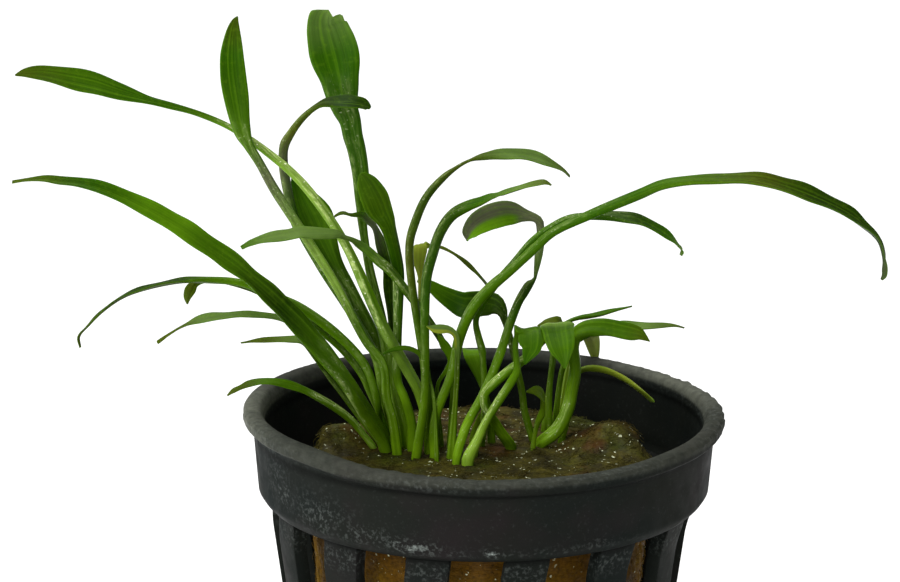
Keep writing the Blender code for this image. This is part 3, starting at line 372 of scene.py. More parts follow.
                  (21.6, 12.9, 56.9, 1.1), (22.8, 13, 56.9, 0.6), (23.7, 13, 56.8, 0.4),
                  (24.5, 13, 56.6, 0.3)),
        "tints": (("fresh", 0), ("deep", 0.5), ("grey", 0.8), ("olive", 1)),
    },
    "leaf_drooping_pale_stalk": {
        "stalk": 1.2, "opens": 0.66, "widest": 0.85, "across": (1, 0, 0.1),
        "finish": "bright green",
        "route": ((-1.4, -5.5, 44.9, 1), (-1.4, -5.3, 45.7, 1.2), (-0.3, -4.5, 47.9, 1),
                  (0.8, -4.1, 50.2, 0.9), (2.2, -3.3, 52.3, 1), (3.6, -2.9, 54.4, 1),
                  (4.2, -2.9, 55.6, 0.9), (4.1, -2.8, 57.1, 0.7), (4, -2.6, 58.6, 0.7),
                  (4.2, -2.6, 59.8, 0.8), (4.8, -2.8, 60.4, 2.9), (5.7, -3.9, 60.5, 2.8),
                  (5.7, -5, 59.8, 3), (5.7, -5.7, 59, 2.3), (5.3, -6.2, 58.2, 1.3), (5, -6.6, 57.4, 0.2)),
        "tints": (("pale", 0), ("pale", 0.16), ("bright", 0.3), ("bright", 0.5), ("fresh", 0.62),
                  ("fresh", 0.8), ("deep", 1)), "wet": (0.02, 0.4, 0.8),
    },
    "leaf_drooping_glossy": {
        "stalk": 1.1, "opens": 0.66, "widest": 0.84, "across": (1, 0, 0.1),
        "finish": "green",
        "route": ((3.3, 1.2, 44.9, 1), (3.7, 1.2, 45, 1.1), (2, -1.1, 48.5, 1.1), (0.5, -2.5, 51.7, 1),
                  (0.6, -2.5, 52.9, 1), (1.4, -2.4, 53.8, 1.1), (3.1, -1.5, 55.1, 1.1),
                  (5.3, -0.4, 56.5, 1), (7.5, -1, 59.1, 1), (8.1, -1.8, 60.3, 1.7), (8.6, -3.3, 61.1, 3.6),
                  (8.6, -7, 61.3, 3.5), (8.8, -8.4, 60.6, 3.3), (9, -9.3, 59.7, 2.7),
                  (9.2, -9.7, 58.7, 1.3), (9.3, -10, 57.8, 0.2)),
        # The pale key at 0.72 paints the sheen on the top of the blade's bend.
        "tints": (("bright", 0), ("bright", 0.4), ("fresh", 0.62), ("pale", 0.72), ("fresh", 0.8),
                  ("fresh", 1)), "wet": (0.2, 0.52, 1.0),
    },
    "leaf_small_olive_back": {
        "stalk": 0.8, "opens": 0.5, "widest": 0.8, "across": (0.3, 1, 0.3),
        "finish": "olive",
        "route": ((7.7, 8.5, 44.9, 0.7), (8.2, 9, 48.8, 0.7), (9, 10, 54.6, 0.9), (9.6, 10.5, 56.9, 1.3),
                  (9.6, 10.3, 57.9, 1.5), (9, 9.6, 58.4, 1.1), (8, 8.9, 58.3, 1.5), (6.9, 8.6, 57.9, 0.3)),
    },
    "leaf_over_back_rim": {
        "stalk": 0.8, "opens": 0.4, "widest": 0.75, "across": (1, 0.3, 0),
        "finish": "olive",
        "route": ((9.3, 9.2, 44.9, 0.7), (10, 11.5, 48.1, 0.7), (11, 14.5, 52.2, 0.7),
                  (12.1, 18, 54, 1.1), (13.2, 21, 54, 1.7), (14, 23.5, 52.6, 2), (14.5, 25.5, 50.5, 1.5),
                  (14.8, 27, 48, 0.2)),
        "tints": (("olive", 0), ("olive", 0.5), ("straw", 0.62), ("straw", 0.8), ("olive", 1)),
    },
    "cut_stalk_right": {
        "stalk": 0.9, "opens": 0.5, "widest": 0.99, "across": (0, 1, 0),
        "finish": "bright green",
        "route": ((9.4, 3.6, 44.9, 0.8), (10.3, 5, 48.1, 0.8), (10.4, 6, 50.8, 0.8),
                  (11.9, 6.5, 53.1, 0.7), (14.2, 6.8, 53.2, 1), (16.5, 7, 52.3, 1), (18.9, 7, 50.7, 1),
                  (20.6, 7, 49.2, 1)),
        "tints": (("bright", 0), ("olive", 0.4), ("straw", 0.7), ("straw", 0.95), ("pale", 1)),
    },
    "leaf_folded_right": {
        "stalk": 0.7, "opens": 0.3, "widest": 0.6, "across": (0, 0.6, 0.8),
        "finish": "dark green",
        "route": ((6.1, 0.3, 44.9, 0.6), (6.6, 0, 48.3, 0.6), (7.4, -0.6, 50.6, 1.8),
                  (7.2, -2, 52.4, 1.8), (6.4, -3, 53.3, 1.2), (5.3, -4, 53.5, 0.2)),
        "tints": (("dark", 0), ("dark", 0.6), ("olive", 1)),
    },
    "leaf_folded_centre": {
        "stalk": 1.1, "opens": 0.6, "widest": 0.8, "across": (1, 0, 0), "tip_across": (0, 0.2, 0.98),
        "finish": "green", "lower_side": "straw",
        "route": ((-3.3, -2.9, 44.9, 1), (-2.8, -3.2, 52.2, 0.6), (-2.6, -3.4, 55.6, 0.6),
                  (-2.6, -3.6, 58.7, 0.6), (-2.8, -4, 60.1, 0.65), (-3.5, -4.4, 60.8, 0.85),
                  (-4.5, -4.8, 61, 1.05), (-5.3, -5, 61.1, 0.8), (-6, -5.2, 61.4, 0.15)),
        "tints": (("fresh", 0), ("dark", 0.3), ("dark", 0.6), ("grey", 0.72), ("grey", 1)),
    },
    "leaf_small_bright": {
        "stalk": 0.7, "opens": 0.45, "widest": 0.75, "across": (1, 0, 0.2),
        "finish": "bright green",
        "route": ((-4.4, 2.1, 44.9, 0.6), (-4.8, 0.8, 52.9, 0.45), (-3.9, 0.3, 54.7, 0.45),
                  (-3.4, 0, 56, 0.5), (-3.5, -0.4, 57.1, 0.95), (-4.1, -0.8, 58.2, 1.05),
                  (-4.5, -1, 58.9, 0.6), (-4.8, -1.1, 59.4, 0.15)),
        "tints": (("fresh", 0), ("fresh", 0.5), ("bright", 0.7), ("bright", 1)),
    },
    "leaf_folded_grey": {
        "stalk": 0.8, "opens": 0.55, "widest": 0.8, "across": (1, 0, 0), "tip_across": (0, 0.25, 0.95),
        "finish": "grey green",
        "route": ((-4.9, -3.7, 44.9, 0.45), (-5.3, -2.8, 52.7, 0.4), (-5.8, -2.4, 54.6, 0.4),
                  (-6.4, -2.35, 56.5, 0.4), (-7, -2.4, 57.6, 0.5), (-8.2, -2.6, 58.2, 0.55),
                  (-9.3, -2.8, 58.2, 0.55), (-10.3, -2.8, 57.9, 0.35), (-11, -2.8, 57.5, 0.1)),
        "tints": (("fresh", 0), ("deep", 0.5), ("fresh", 0.75), ("deep", 1)),
    },
    "leaf_bent_back": {
        "stalk": 0.9, "opens": 0.45, "widest": 0.7, "across": (1, 0, 0),
        "finish": "green",
        "route": ((1.5, 4, 44.9, 0.8), (1.1, 3, 49, 0.8), (0.5, 2.4, 52.1, 0.8), (-0.6, 2.6, 55.9, 2.3),
                  (-1, 4.5, 56.2, 1.9), (-1.3, 7, 55.2, 0.2)),
        "tints": (("fresh", 0), ("deep", 0.5), ("bright", 0.8), ("deep", 1)),
    },
    "leaf_olive_stub": {
        "stalk": 0.7, "opens": 0.3, "widest": 0.6, "across": (1, 0, 0),
        "finish": "olive",
        "route": ((-0.7, -2.4, 44.9, 0.6), (-0.5, -1, 47.2, 1.1), (0, -0.2, 49.8, 0.2)),
    },
}

# How each finish runs from the crown to the tip, and how far undersides and margins lean
FINISH_TINTS = {
    "green": (("bright", 0), ("fresh", 0.35), ("fresh", 0.6), ("deep", 0.85), ("deep", 1)),
    "bright green": (("bright", 0), ("bright", 0.4), ("fresh", 0.7), ("deep", 1)),
    "olive": (("fresh", 0), ("olive", 0.4), ("olive", 1)),
    "grey green": (("fresh", 0), ("fresh", 0.5), ("grey", 0.8), ("grey", 1)),
    "dark green": (("fresh", 0), ("dark", 0.4), ("dark", 1)),
}
UNDERSIDE_LEAN = 0.35
MARGIN_LEAN = 0.25


class LeafSettings(bpy.types.PropertyGroup):
    spacing: FloatProperty(
        name="Ring spacing", description="Distance between a leaf's cross-sections",
        default=0.45 * MM, min=0.1 * MM, unit="LENGTH", subtype="DISTANCE")
    vein_depth: FloatProperty(
        name="Vein depth", description="Height of the fine parallel veins",
        default=0.05 * MM, min=0.0, unit="LENGTH", subtype="DISTANCE")
    bright: FloatVectorProperty(
        name="Bright green", description="Colour of the lower stalks",
        default=shade(88, 132, 10), size=3, min=0.0, max=1.0, subtype="COLOR")
    fresh: FloatVectorProperty(
        name="Fresh green", description="Colour of the upper stalks and lit blades",
        default=shade(64, 100, 7), size=3, min=0.0, max=1.0, subtype="COLOR")
    deep: FloatVectorProperty(
        name="Deep green", description="Colour of the blades",
        default=shade(43, 82, 2), size=3, min=0.0, max=1.0, subtype="COLOR")
    dark: FloatVectorProperty(
        name="Dark green", description="Colour of the leaves in the middle of the plant",
        default=shade(29, 49, 3), size=3, min=0.0, max=1.0, subtype="COLOR")
    olive: FloatVectorProperty(
        name="Olive", description="Colour of withering blades and of undersides",
        default=shade(68, 76, 14), size=3, min=0.0, max=1.0, subtype="COLOR")
    # Grey green and violet grey are painted sheen: the look of reflected light on level blades and turned
    # stalks.
    grey: FloatVectorProperty(
        name="Grey green", description="Colour of level blades with a dull painted sheen",
        default=shade(94, 120, 54), size=3, min=0.0, max=1.0, subtype="COLOR")
    sheen_violet: FloatVectorProperty(
        name="Violet grey", description="Colour of the painted sheen on turned stalks",
        default=shade(84, 86, 64), size=3, min=0.0, max=1.0, subtype="COLOR")
    pale: FloatVectorProperty(
        name="Pale green", description="Colour of the blanched stalk bases",
        default=shade(140, 176, 66), size=3, min=0.0, max=1.0, subtype="COLOR")
    straw: FloatVectorProperty(
        name="Straw", description="Colour of yellowing blades and cut ends",
        default=shade(140, 152, 46), size=3, min=0.0, max=1.0, subtype="COLOR")
    lime: FloatVectorProperty(
        name="Lime", description="Colour of the stalks where they leave the wool",
        default=shade(150, 196, 26), size=3, min=0.0, max=1.0, subtype="COLOR")


def smooth_course(route):
    """Close (right, back, up, width) rows along the centripetal Catmull-Rom curve through a route."""
    points = [np.array(point, float) for point in route]
    points = [2.0 * points[0] - points[1]] + points + [2.0 * points[-1] - points[-2]]
    course = []
    for before, here, there, beyond in zip(points, points[1:], points[2:], points[3:]):
        knots = [0.0]
        for start, end in ((before, here), (here, there), (there, beyond)):
            knots.append(knots[-1] + math.sqrt(np.linalg.norm((end - start)[:3])))
        for step in range(COURSE_STEPS):
            moment = blend(knots[1], knots[2], step / COURSE_STEPS)
            first = blend(before, here, (moment - knots[0]) / (knots[1] - knots[0]))
            second = blend(here, there, (moment - knots[1]) / (knots[2] - knots[1]))
            third = blend(there, beyond, (moment - knots[2]) / (knots[3] - knots[2]))
            left = blend(first, second, (moment - knots[0]) / (knots[2] - knots[0]))
            right = blend(second, third, (moment - knots[1]) / (knots[3] - knots[1]))
            course.append(blend(left, right, (moment - knots[1]) / (knots[2] - knots[1])))
    course.append(points[-2])
    return np.array(course)


def leaf_stations(leaf, spacing):
    """Lengths, shares, places, half widths and directions, evenly spaced and closer at the tip."""
    course = smooth_course(leaf["route"])
    steps = np.linalg.norm(np.diff(course[:, :3], axis=0), axis=1)
    lengths = np.concatenate(([0.0], np.cumsum(steps)))
    total = lengths[-1]
    tip_zone = min(2.4, 0.2 * total)
    body = np.arange(0.0, total - tip_zone, spacing)
    count = 12
    tip = total - tip_zone * (1.0 - np.linspace(0.0, 1.0, count)) ** 2
    arcs = np.concatenate((body, tip))
    places = np.stack([np.interp(arcs, lengths, course[:, axis]) for axis in range(3)], axis=1)
    half_width = 0.5 * np.interp(arcs, lengths, course[:, 3])
    half_width *= 1.0 + SHEATH_GROWTH * np.exp(-(arcs / SHEATH_HEIGHT) ** 2)
    reach = 0.35
    ahead = np.clip(arcs + reach, 0.0, total)
    behind = np.clip(arcs - reach, 0.0, total)
    forward = np.stack([np.interp(ahead, lengths, course[:, axis]) for axis in range(3)], axis=1)
    backward = np.stack([np.interp(behind, lengths, course[:, axis]) for axis in range(3)], axis=1)
    along = forward - backward
    along /= np.linalg.norm(along, axis=1)[:, None]
    return arcs, arcs / total, places, np.maximum(half_width, TIP_HALF_WIDTH), along


def tint_ramp(keys, shares, colours):
    """Colours along a leaf, eased between (colour name, share of length) keys."""
    stops = [share for name, share in keys]
    table = np.array([colours[name] for name, share in keys])
    return np.stack([np.interp(shares, stops, table[:, channel]) for channel in range(3)], axis=1)


def build_leaf(name, leaf, settings, colours, material):
    """A closed leaf: a grooved stalk that opens into a blade with a fold, a midrib and wavy margins."""
    arcs, shares, places, half_width, along = leaf_stations(leaf, settings.spacing / MM)
    rings = len(arcs)
    opens = leaf["opens"]
    widest = leaf["widest"]
    opened = smoothstep(opens, widest, shares)
    closing = np.clip((shares - widest) / (1.0 - widest), 0.0, 1.0)

    foot_across = np.array(leaf["across"], float)
    foot_across /= np.linalg.norm(foot_across)
    tip_across = np.array(leaf.get("tip_across", leaf["across"]), float)
    tip_across /= np.linalg.norm(tip_across)
    turned = np.clip((shares - opens) / (1.0 - opens), 0.0, 1.0)[:, None]
    across = blend(foot_across, tip_across, turned)
    across -= np.sum(across * along, axis=1)[:, None] * along
    across /= np.linalg.norm(across, axis=1)[:, None]
    face = np.cross(along, across)
    upper = np.array(leaf.get("upper", (0.0, -0.35, 1.0)))
    upward = 1.0 if np.sum(face[rings // 2:] @ upper) > 0.0 else -1.0

    columns = SECTION_COLUMNS
    swing = np.linspace(-0.5 * math.pi, 0.5 * math.pi, columns)
    offsets = np.sin(swing)
    side_of = np.concatenate((np.ones(columns), -np.ones(columns - 2)))
    offset_of = np.concatenate((offsets, offsets[-2:0:-1]))
    loop = len(offset_of)

    spread = np.sqrt(np.clip(1.0 - offset_of ** 2, 0.0, 1.0))
    stalk_half = np.minimum(0.5 * leaf["stalk"], half_width)[:, None]
    groove = 0.36 * np.exp(-(offset_of / 0.45) ** 2) * (side_of > 0.0)
    rib = np.exp(-(offset_of / 0.16) ** 2) * (side_of < 0.0) * 0.16
    blade_depth = 0.17 * spread ** 0.7 + rib
    thin_tip = 1.0 - 0.6 * closing
    depth = blend(stalk_half * (spread - groove)[None, :],
                  blade_depth[None, :] * thin_tip[:, None], opened[:, None])
    depth = np.minimum(depth, 0.9 * half_width[:, None] + 0.02)

    fold = leaf.get("fold", 0.16) * (opened * half_width)[:, None]
    valley = -fold * (1.0 - np.abs(offset_of)[None, :] ** 1.4)
    seed = sum(ord(letter) for letter in name) % 97
    pace = arcs[:, None] / leaf.get("wave_length", 5.5)
    ripple = np.sin(2.0 * math.pi * pace + seed + 1.7 * np.sign(offset_of)[None, :])
    ripple *= leaf.get("wave", 0.09) * opened[:, None] * offset_of[None, :] ** 2
    height = upward * (valley + ripple + side_of[None, :] * depth)

    edges = (0.0, 7.0)
    jitter = np.array([[noise.noise(Vector((arc * 0.35, seed, edge))) for edge in edges] for arc in arcs])
    swell = 1.0 + 0.05 * np.where(offset_of[None, :] < 0.0, jitter[:, :1], jitter[:, 1:])
    wide = half_width[:, None] * offset_of[None, :] * swell
    notch = leaf.get("notch", 0.0)
    near_notch = np.exp(-((wide - NOTCH_PLACE) / NOTCH_SPREAD) ** 2)
    pull = notch * near_notch * smoothstep(0.2, 0.9, closing)[:, None]
    points = (places[:, None, :] + across[:, None, :] * wide[:, :, None]
              + face[:, None, :] * height[:, :, None] - along[:, None, :] * pull[:, :, None])

    foot_flat = np.clip(1.0 - arcs / 0.6, 0.0, 1.0)[:, None]
    level_height = places[0, 2] - FOOT_DROP
    points[:, :, 2] = blend(points[:, :, 2], level_height, foot_flat)
    tip_point = places[-1] + along[-1] * 0.05

    mesh = bpy.data.meshes.new(name)
    verts = [tuple(point) for point in (points.reshape(-1, 3) * MM)]
    verts.append(tuple(tip_point * MM))
    faces = []
    for ring in range(rings - 1):
        for index in range(loop):
            after = (index + 1) % loop
            base = ring * loop
            faces.append((base + index, base + loop + index, base + loop + after, base + after))
    faces.append(tuple(reversed(range(loop))))
    last = (rings - 1) * loop
    for index in range(loop):
        faces.append((last + index, len(verts) - 1, last + (index + 1) % loop))
    mesh.from_pydata(verts, [], faces)

    base = tint_ramp(leaf.get("tints", FINISH_TINTS[leaf["finish"]]), shares, colours)
    tint = np.repeat(base[:, None, :], loop, axis=1)
    lean_under = (side_of < 0.0)[None, :] * UNDERSIDE_LEAN * opened[:, None]
    tint = blend(tint, np.array(colours[leaf.get("under", "olive")]), lean_under[:, :, None])
    if "lower_side" in leaf:
        half = smoothstep(0.05, 0.3, -offset_of)[None, :, None] * smoothstep(0.5, 0.8, opened)[:, None, None]
        tint = blend(tint, np.array(colours[leaf["lower_side"]]), half)
    margin = smoothstep(0.82, 1.0, np.abs(offset_of))[None, :] * MARGIN_LEAN * opened[:, None]
    tint = blend(tint, np.array(colours["bright"]), margin[:, :, None])
    # Lime at the foot: partly the stalks' own colour, partly painted light where the leaves above shade the
    # foot.
    lime_and_lit_foot = np.exp(-(arcs / FOOT_GLOW) ** 2)[:, None, None] * 0.5
    tint = blend(tint, np.array(colours["lime"]), lime_and_lit_foot)
    foot = np.clip(1.0 - arcs / 1.4, 0.0, 1.0)[:, None, None] * 0.3
    tint = blend(tint, np.array(colours["olive"]), foot)
    # Painted highlight: the wet share, kept to the stalk's side that faces LIGHT_SIDE, becomes pale glints in
    # the material.
    glint_from, glint_to, glint_most = leaf.get("wet", (0.02, opens, 0.22))
    wet = smoothstep(glint_from, glint_from + 0.06, shares) * (1.0 - smoothstep(glint_to, glint_to + 0.08, shares))
    outward = np.roll(points, -1, axis=1) - np.roll(points, 1, axis=1)
    outward = np.cross(outward, along[:, None, :])
    outward *= np.sign(np.sum(outward * (points - places[:, None, :]), axis=2).sum(axis=1))[:, None, None]
    outward /= np.maximum(np.linalg.norm(outward, axis=2), 1e-6)[:, :, None]
    light = np.array(LIGHT_SIDE) - (along @ np.array(LIGHT_SIDE))[:, None] * along
    light /= np.linalg.norm(light, axis=1)[:, None]
    facing = np.sum(outward * light[:, None, :], axis=2)
    wet = (wet * glint_most)[:, None] * smoothstep(0.62, 0.96, facing)
    # Painted shade: the stalk's side turned from LIGHT_SIDE is darkened towards dark green.
    painted_shade = smoothstep(-0.2, 0.9, -facing)[:, :, None] * SHADY_SIDE * (1.0 - opened)[:, None, None]
    tint = blend(tint, np.array(colours["dark"]), painted_shade)

    tint_layer = mesh.attributes.new("tint", "FLOAT_COLOR", "POINT")
    rgba = np.ones((len(verts), 4))
    rgba[:-1, :3] = tint.reshape(-1, 3)
    rgba[-1, :3] = tint[-1, 0]
    tint_layer.data.foreach_set("color", rgba.ravel())
    # The wet attribute carries the painted highlight.
    glint_layer = mesh.attributes.new("wet", "FLOAT", "POINT")
    glint_layer.data.foreach_set("value", np.append(wet.ravel(), 0.0))

    across_of = np.append(np.tile(0.5 + 0.5 * offset_of, rings), 0.5)
    along_of = np.append(np.repeat(arcs * 0.02, loop), arcs[-1] * 0.02)
    corners = np.empty(len(mesh.loops), int)
    mesh.loops.foreach_get("vertex_index", corners)
    layer = mesh.uv_layers.new(name="leaf")
    layer.data.foreach_set("uv", np.stack((across_of[corners], along_of[corners]), axis=1).ravel())

    bm = bmesh.new()
    bm.from_mesh(mesh)
    bmesh.ops.recalc_face_normals(bm, faces=bm.faces)
    bm.to_mesh(mesh)
    bm.free()
    mesh.shade_smooth()
    mesh.materials.append(material)
    return mesh


# Materials

def new_material(name):
    """An empty node material with its output and shader, and a helper that adds nodes."""
    material = bpy.data.materials.new(name)
    material.use_nodes = True
    tree = material.node_tree
    tree.nodes.clear()
    output = tree.nodes.new("ShaderNodeOutputMaterial")
    shader = tree.nodes.new("ShaderNodeBsdfPrincipled")
    tree.links.new(shader.outputs["BSDF"], output.inputs["Surface"])
    return material, tree, shader


def add_noise(tree, vector, scale, detail, roughness=0.55):
    node = tree.nodes.new("ShaderNodeTexNoise")
    node.inputs["Scale"].default_value = scale
    node.inputs["Detail"].default_value = detail
    node.inputs["Roughness"].default_value = roughness
    tree.links.new(vector, node.inputs["Vector"])
    return node.outputs["Fac"]


def add_range(tree, value, low, high, to_low=0.0, to_high=1.0):
    """Map a value from one range to another, held within it."""
    node = tree.nodes.new("ShaderNodeMapRange")
    node.inputs["From Min"].default_value = low
    node.inputs["From Max"].default_value = high
    node.inputs["To Min"].default_value = to_low
    node.inputs["To Max"].default_value = to_high
    tree.links.new(value, node.inputs["Value"])
    return node.outputs["Result"]


def add_maths(tree, operation, first, second):
    node = tree.nodes.new("ShaderNodeMath")
    node.operation = operation
    for socket, value in zip(node.inputs, (first, second)):
        if isinstance(value, (int, float)):
            socket.default_value = value
        else:
            tree.links.new(value, socket)
    return node.outputs["Value"]


def add_mix(tree, factor, first, second, blend_type="MIX"):
    """Mix two colours by a factor."""
    node = tree.nodes.new("ShaderNodeMix")
    node.data_type = "RGBA"
    node.blend_type = blend_type
    for identifier, value in (("Factor_Float", factor), ("A_Color", first), ("B_Color", second)):
        socket = next(s for s in node.inputs if s.identifier == identifier)
        if isinstance(value, (int, float)):
            socket.default_value = value
        elif isinstance(value, tuple):
            socket.default_value = (*value[:3], 1.0)
        else:
            tree.links.new(value, socket)
    return next(s for s in node.outputs if s.identifier == "Result_Color")


def add_bump(tree, height, strength, distance, normal=None):
    node = tree.nodes.new("ShaderNodeBump")
    node.inputs["Strength"].default_value = strength
    node.inputs["Distance"].default_value = distance
    tree.links.new(height, node.inputs["Height"])
    if normal is not None:
        tree.links.new(normal, node.inputs["Normal"])
    return node.outputs["Normal"]


def scaled_vector(tree, vector, scale):
    """A vector stretched by three factors through a Mapping node."""
    node = tree.nodes.new("ShaderNodeMapping")
    node.inputs["Scale"].default_value = scale
    tree.links.new(vector, node.inputs["Vector"])
    return node.outputs["Vector"]


def leaf_material(name, roughness, settings):
    """Wet leaf: the painted tint with soft blotches, parallel veins, and broken painted highlights laid where
    the wet attribute marks the stalks' lit side.
    """
    material, tree, shader = new_material(name)
    coords = tree.nodes.new("ShaderNodeTexCoord")
    place = coords.outputs["Object"]
    tint = tree.nodes.new("ShaderNodeAttribute")
    tint.attribute_name = "tint"
    wet = tree.nodes.new("ShaderNodeAttribute")
    wet.attribute_name = "wet"
    unwrapped = tree.nodes.new("ShaderNodeUVMap")
    unwrapped.uv_map = "leaf"

    blotch = add_range(tree, add_noise(tree, place, 240.0, 3.0), 0.35, 0.68, 0.0, 0.4)
    colour = add_mix(tree, blotch, tint.outputs["Color"], shade(30, 66, 0))
    fine = add_noise(tree, place, 1500.0, 2.0)
    colour = add_mix(tree, add_range(tree, fine, 0.55, 0.75, 0.0, 0.12), colour, shade(120, 158, 30))
    stripes = scaled_vector(tree, unwrapped.outputs["UV"], (7.0, 1.3, 1.0))
    stripe = add_noise(tree, stripes, 1.0, 2.0)
    colour = add_mix(tree, add_range(tree, stripe, 0.5, 0.68, 0.0, 0.25), colour, shade(104, 150, 20))
    colour = add_mix(tree, add_range(tree, stripe, 0.48, 0.3, 0.0, 0.25), colour, shade(26, 52, 2))
    veins = add_noise(tree, scaled_vector(tree, unwrapped.outputs["UV"], (26.0, 2.5, 1.0)), 1.0, 2.0)
    colour = add_mix(tree, add_range(tree, veins, 0.5, 0.72, 0.0, 0.3), colour, shade(22, 44, 2))

    # Painted highlight: pale glints and sparkles wherever the wet attribute is set.
    streaks = scaled_vector(tree, unwrapped.outputs["UV"], (8.0, 34.0, 1.0))
    grain = add_range(tree, add_noise(tree, streaks, 1.0, 3.0, 0.65), 0.44, 0.62, 0.12, 1.0)
    stretches = scaled_vector(tree, unwrapped.outputs["UV"], (0.6, 7.0, 1.0))
    patches = add_range(tree, add_noise(tree, stretches, 1.0, 1.0), 0.35, 0.6, 0.3, 1.0)
    glint = add_maths(tree, "MULTIPLY", add_maths(tree, "MULTIPLY", grain, patches), wet.outputs["Fac"])
    colour = add_mix(tree, glint, colour, shade(206, 226, 140))
    painted_sparkle = add_range(tree, add_noise(tree, place, 3000.0, 1.0), 0.66, 0.72)
    painted_wet_sparkle = add_maths(tree, "MULTIPLY", painted_sparkle, wet.outputs["Fac"])
    colour = add_mix(tree, painted_wet_sparkle, colour, shade(236, 244, 200))
    tree.links.new(colour, shader.inputs["Base Color"])

    rough = add_range(tree, add_noise(tree, place, 700.0, 2.0), 0.3, 0.7, roughness - 0.06, roughness + 0.12)
    tree.links.new(rough, shader.inputs["Roughness"])
    normal = add_bump(tree, veins, 0.5, settings.vein_depth)
    normal = add_bump(tree, fine, 0.35, 0.05 * MM, normal)
    tree.links.new(normal, shader.inputs["Normal"])
    shader.inputs["Specular IOR Level"].default_value = 0.03
    shader.inputs["Subsurface Weight"].default_value = 0.06
    shader.inputs["Subsurface Radius"].default_value = (0.4 * MM, 0.7 * MM, 0.1 * MM)
    shader.inputs["Subsurface Scale"].default_value = 1.0
    return material


def new_piece(name, mesh, replaced):
    """Make a mesh a piece of the plant that rides with it."""
    piece = bpy.data.objects.new(name, mesh)
    bpy.context.scene.collection.objects.link(piece)
    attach(piece, BODY)
    if replaced:
        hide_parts(*replaced)
    return piece


class CRYPTOCORYNE_OT_leaves(bpy.types.Operator):
    """Build every leaf and the cut stalk as fine closed meshes in place of their plain solids"""
    bl_idname = "cryptocoryne.leaves"
    bl_label = "Build leaves"

    def execute(self, context):
        settings = context.scene.cryptocoryne_leaves
        names = ("bright", "fresh", "deep", "dark", "olive", "grey", "sheen_violet", "pale", "straw", "lime")
        colours = {name: tuple(getattr(settings, name)) for name in names}
        roughness = {"green": 0.34, "bright green": 0.32, "olive": 0.5, "grey green": 0.42,
                     "dark green": 0.36}
        materials = {finish: leaf_material("leaf " + finish, value, settings)
                     for finish, value in roughness.items()}
        for name, leaf in LEAVES.items():
            finish = leaf["finish"]
            mesh = build_leaf(name + "_fine", leaf, settings, colours, materials[finish])
            new_piece(name + "_fine", mesh, [name])
        return {"FINISHED"}


# Net pot

POT_HEIGHT = 50.0
SLAT_COUNT = 14
FIRST_SLAT_BEARING = 10.84
SLAT_HALF_ANGLE = 5.73
# (outer radius, outer height, inner radius, inner height, rows below it)
POT_ROWS = (
    (26.75, 50.0, 26.05, 50.0, 2),
    (27.25, 49.85, 25.65, 49.8, 2),
    (27.5, 49.5, 25.45, 49.5, 3),
    (27.5, 48.65, 25.2, 48.9, 2),
    (27.15, 48.35, 25.15, 48.6, 2),
    (26.65, 48.2, 25.1, 48.4, 2),
    (26.45, 47.85, 25.05, 47.9, 2),
    (26.4, 47.4, 25.0, 47.4, 16),
    (25.9, 41.7, 24.7, 41.7, 2),
    (25.5, 41.1, 24.35, 41.1, 2),
    (25.0, 40.6, 23.5, 40.7, 2),
    (24.4, 40.35, 22.6, 40.35, 5),
    (23.8, 36.5, 22.2, 36.5, 44),
    (19.35, 2.5, 17.6, 2.5, 3),
    (19.0, 0.0, 17.4, 1.6, 2),
    (16.5, 0.0, 16.5, 1.6, 10),
    (7.0, 0.0, 7.0, 1.6, 0),
)
SLOT_ROWS = (11, 12)
FLOOR_SLOT_ROWS = (15,)
SLAT_STEPS = 12
SLOT_STEPS = 20
# The mouth sits a little to the right of the foot, and its rim has warped: (bearing, lift)
MOUTH_SHIFT = 0.45
RIM_LIFTS = ((-180.0, 0.5), (-120.0, 1.0), (-85.0, 1.3), (-50.0, 1.3), (-22.0, 0.4), (0.0, 0.05),
             (25.0, 0.05), (55.0, 0.4), (85.0, 0.6), (125.0, 0.2), (180.0, 0.5))


class PotSettings(bpy.types.PropertyGroup):
    slats: IntProperty(
        name="Slats", description="How many times the slat and its share of the collar repeat",
        default=SLAT_COUNT, min=3)
    edge_round: FloatProperty(
        name="Edge rounding", description="Rounding of the moulded edges",
        default=0.18 * MM, min=0.0, unit="LENGTH", subtype="DISTANCE")
    plastic: FloatVectorProperty(
        name="Plastic", description="Colour of the black plastic",
        default=shade(26, 28, 24), size=3, min=0.0, max=1.0, subtype="COLOR")
    chalk: FloatVectorProperty(
        name="Chalk", description="Colour of the lime and dust on the pot",
        default=shade(104, 110, 106), size=3, min=0.0, max=1.0, subtype="COLOR")


def round_place(radius, bearing, height):
    """A place round the pot's axis; bearing 0 faces the viewer and grows to the right."""
    angle = math.radians(bearing)
    return (radius * math.sin(angle), -radius * math.cos(angle), height)


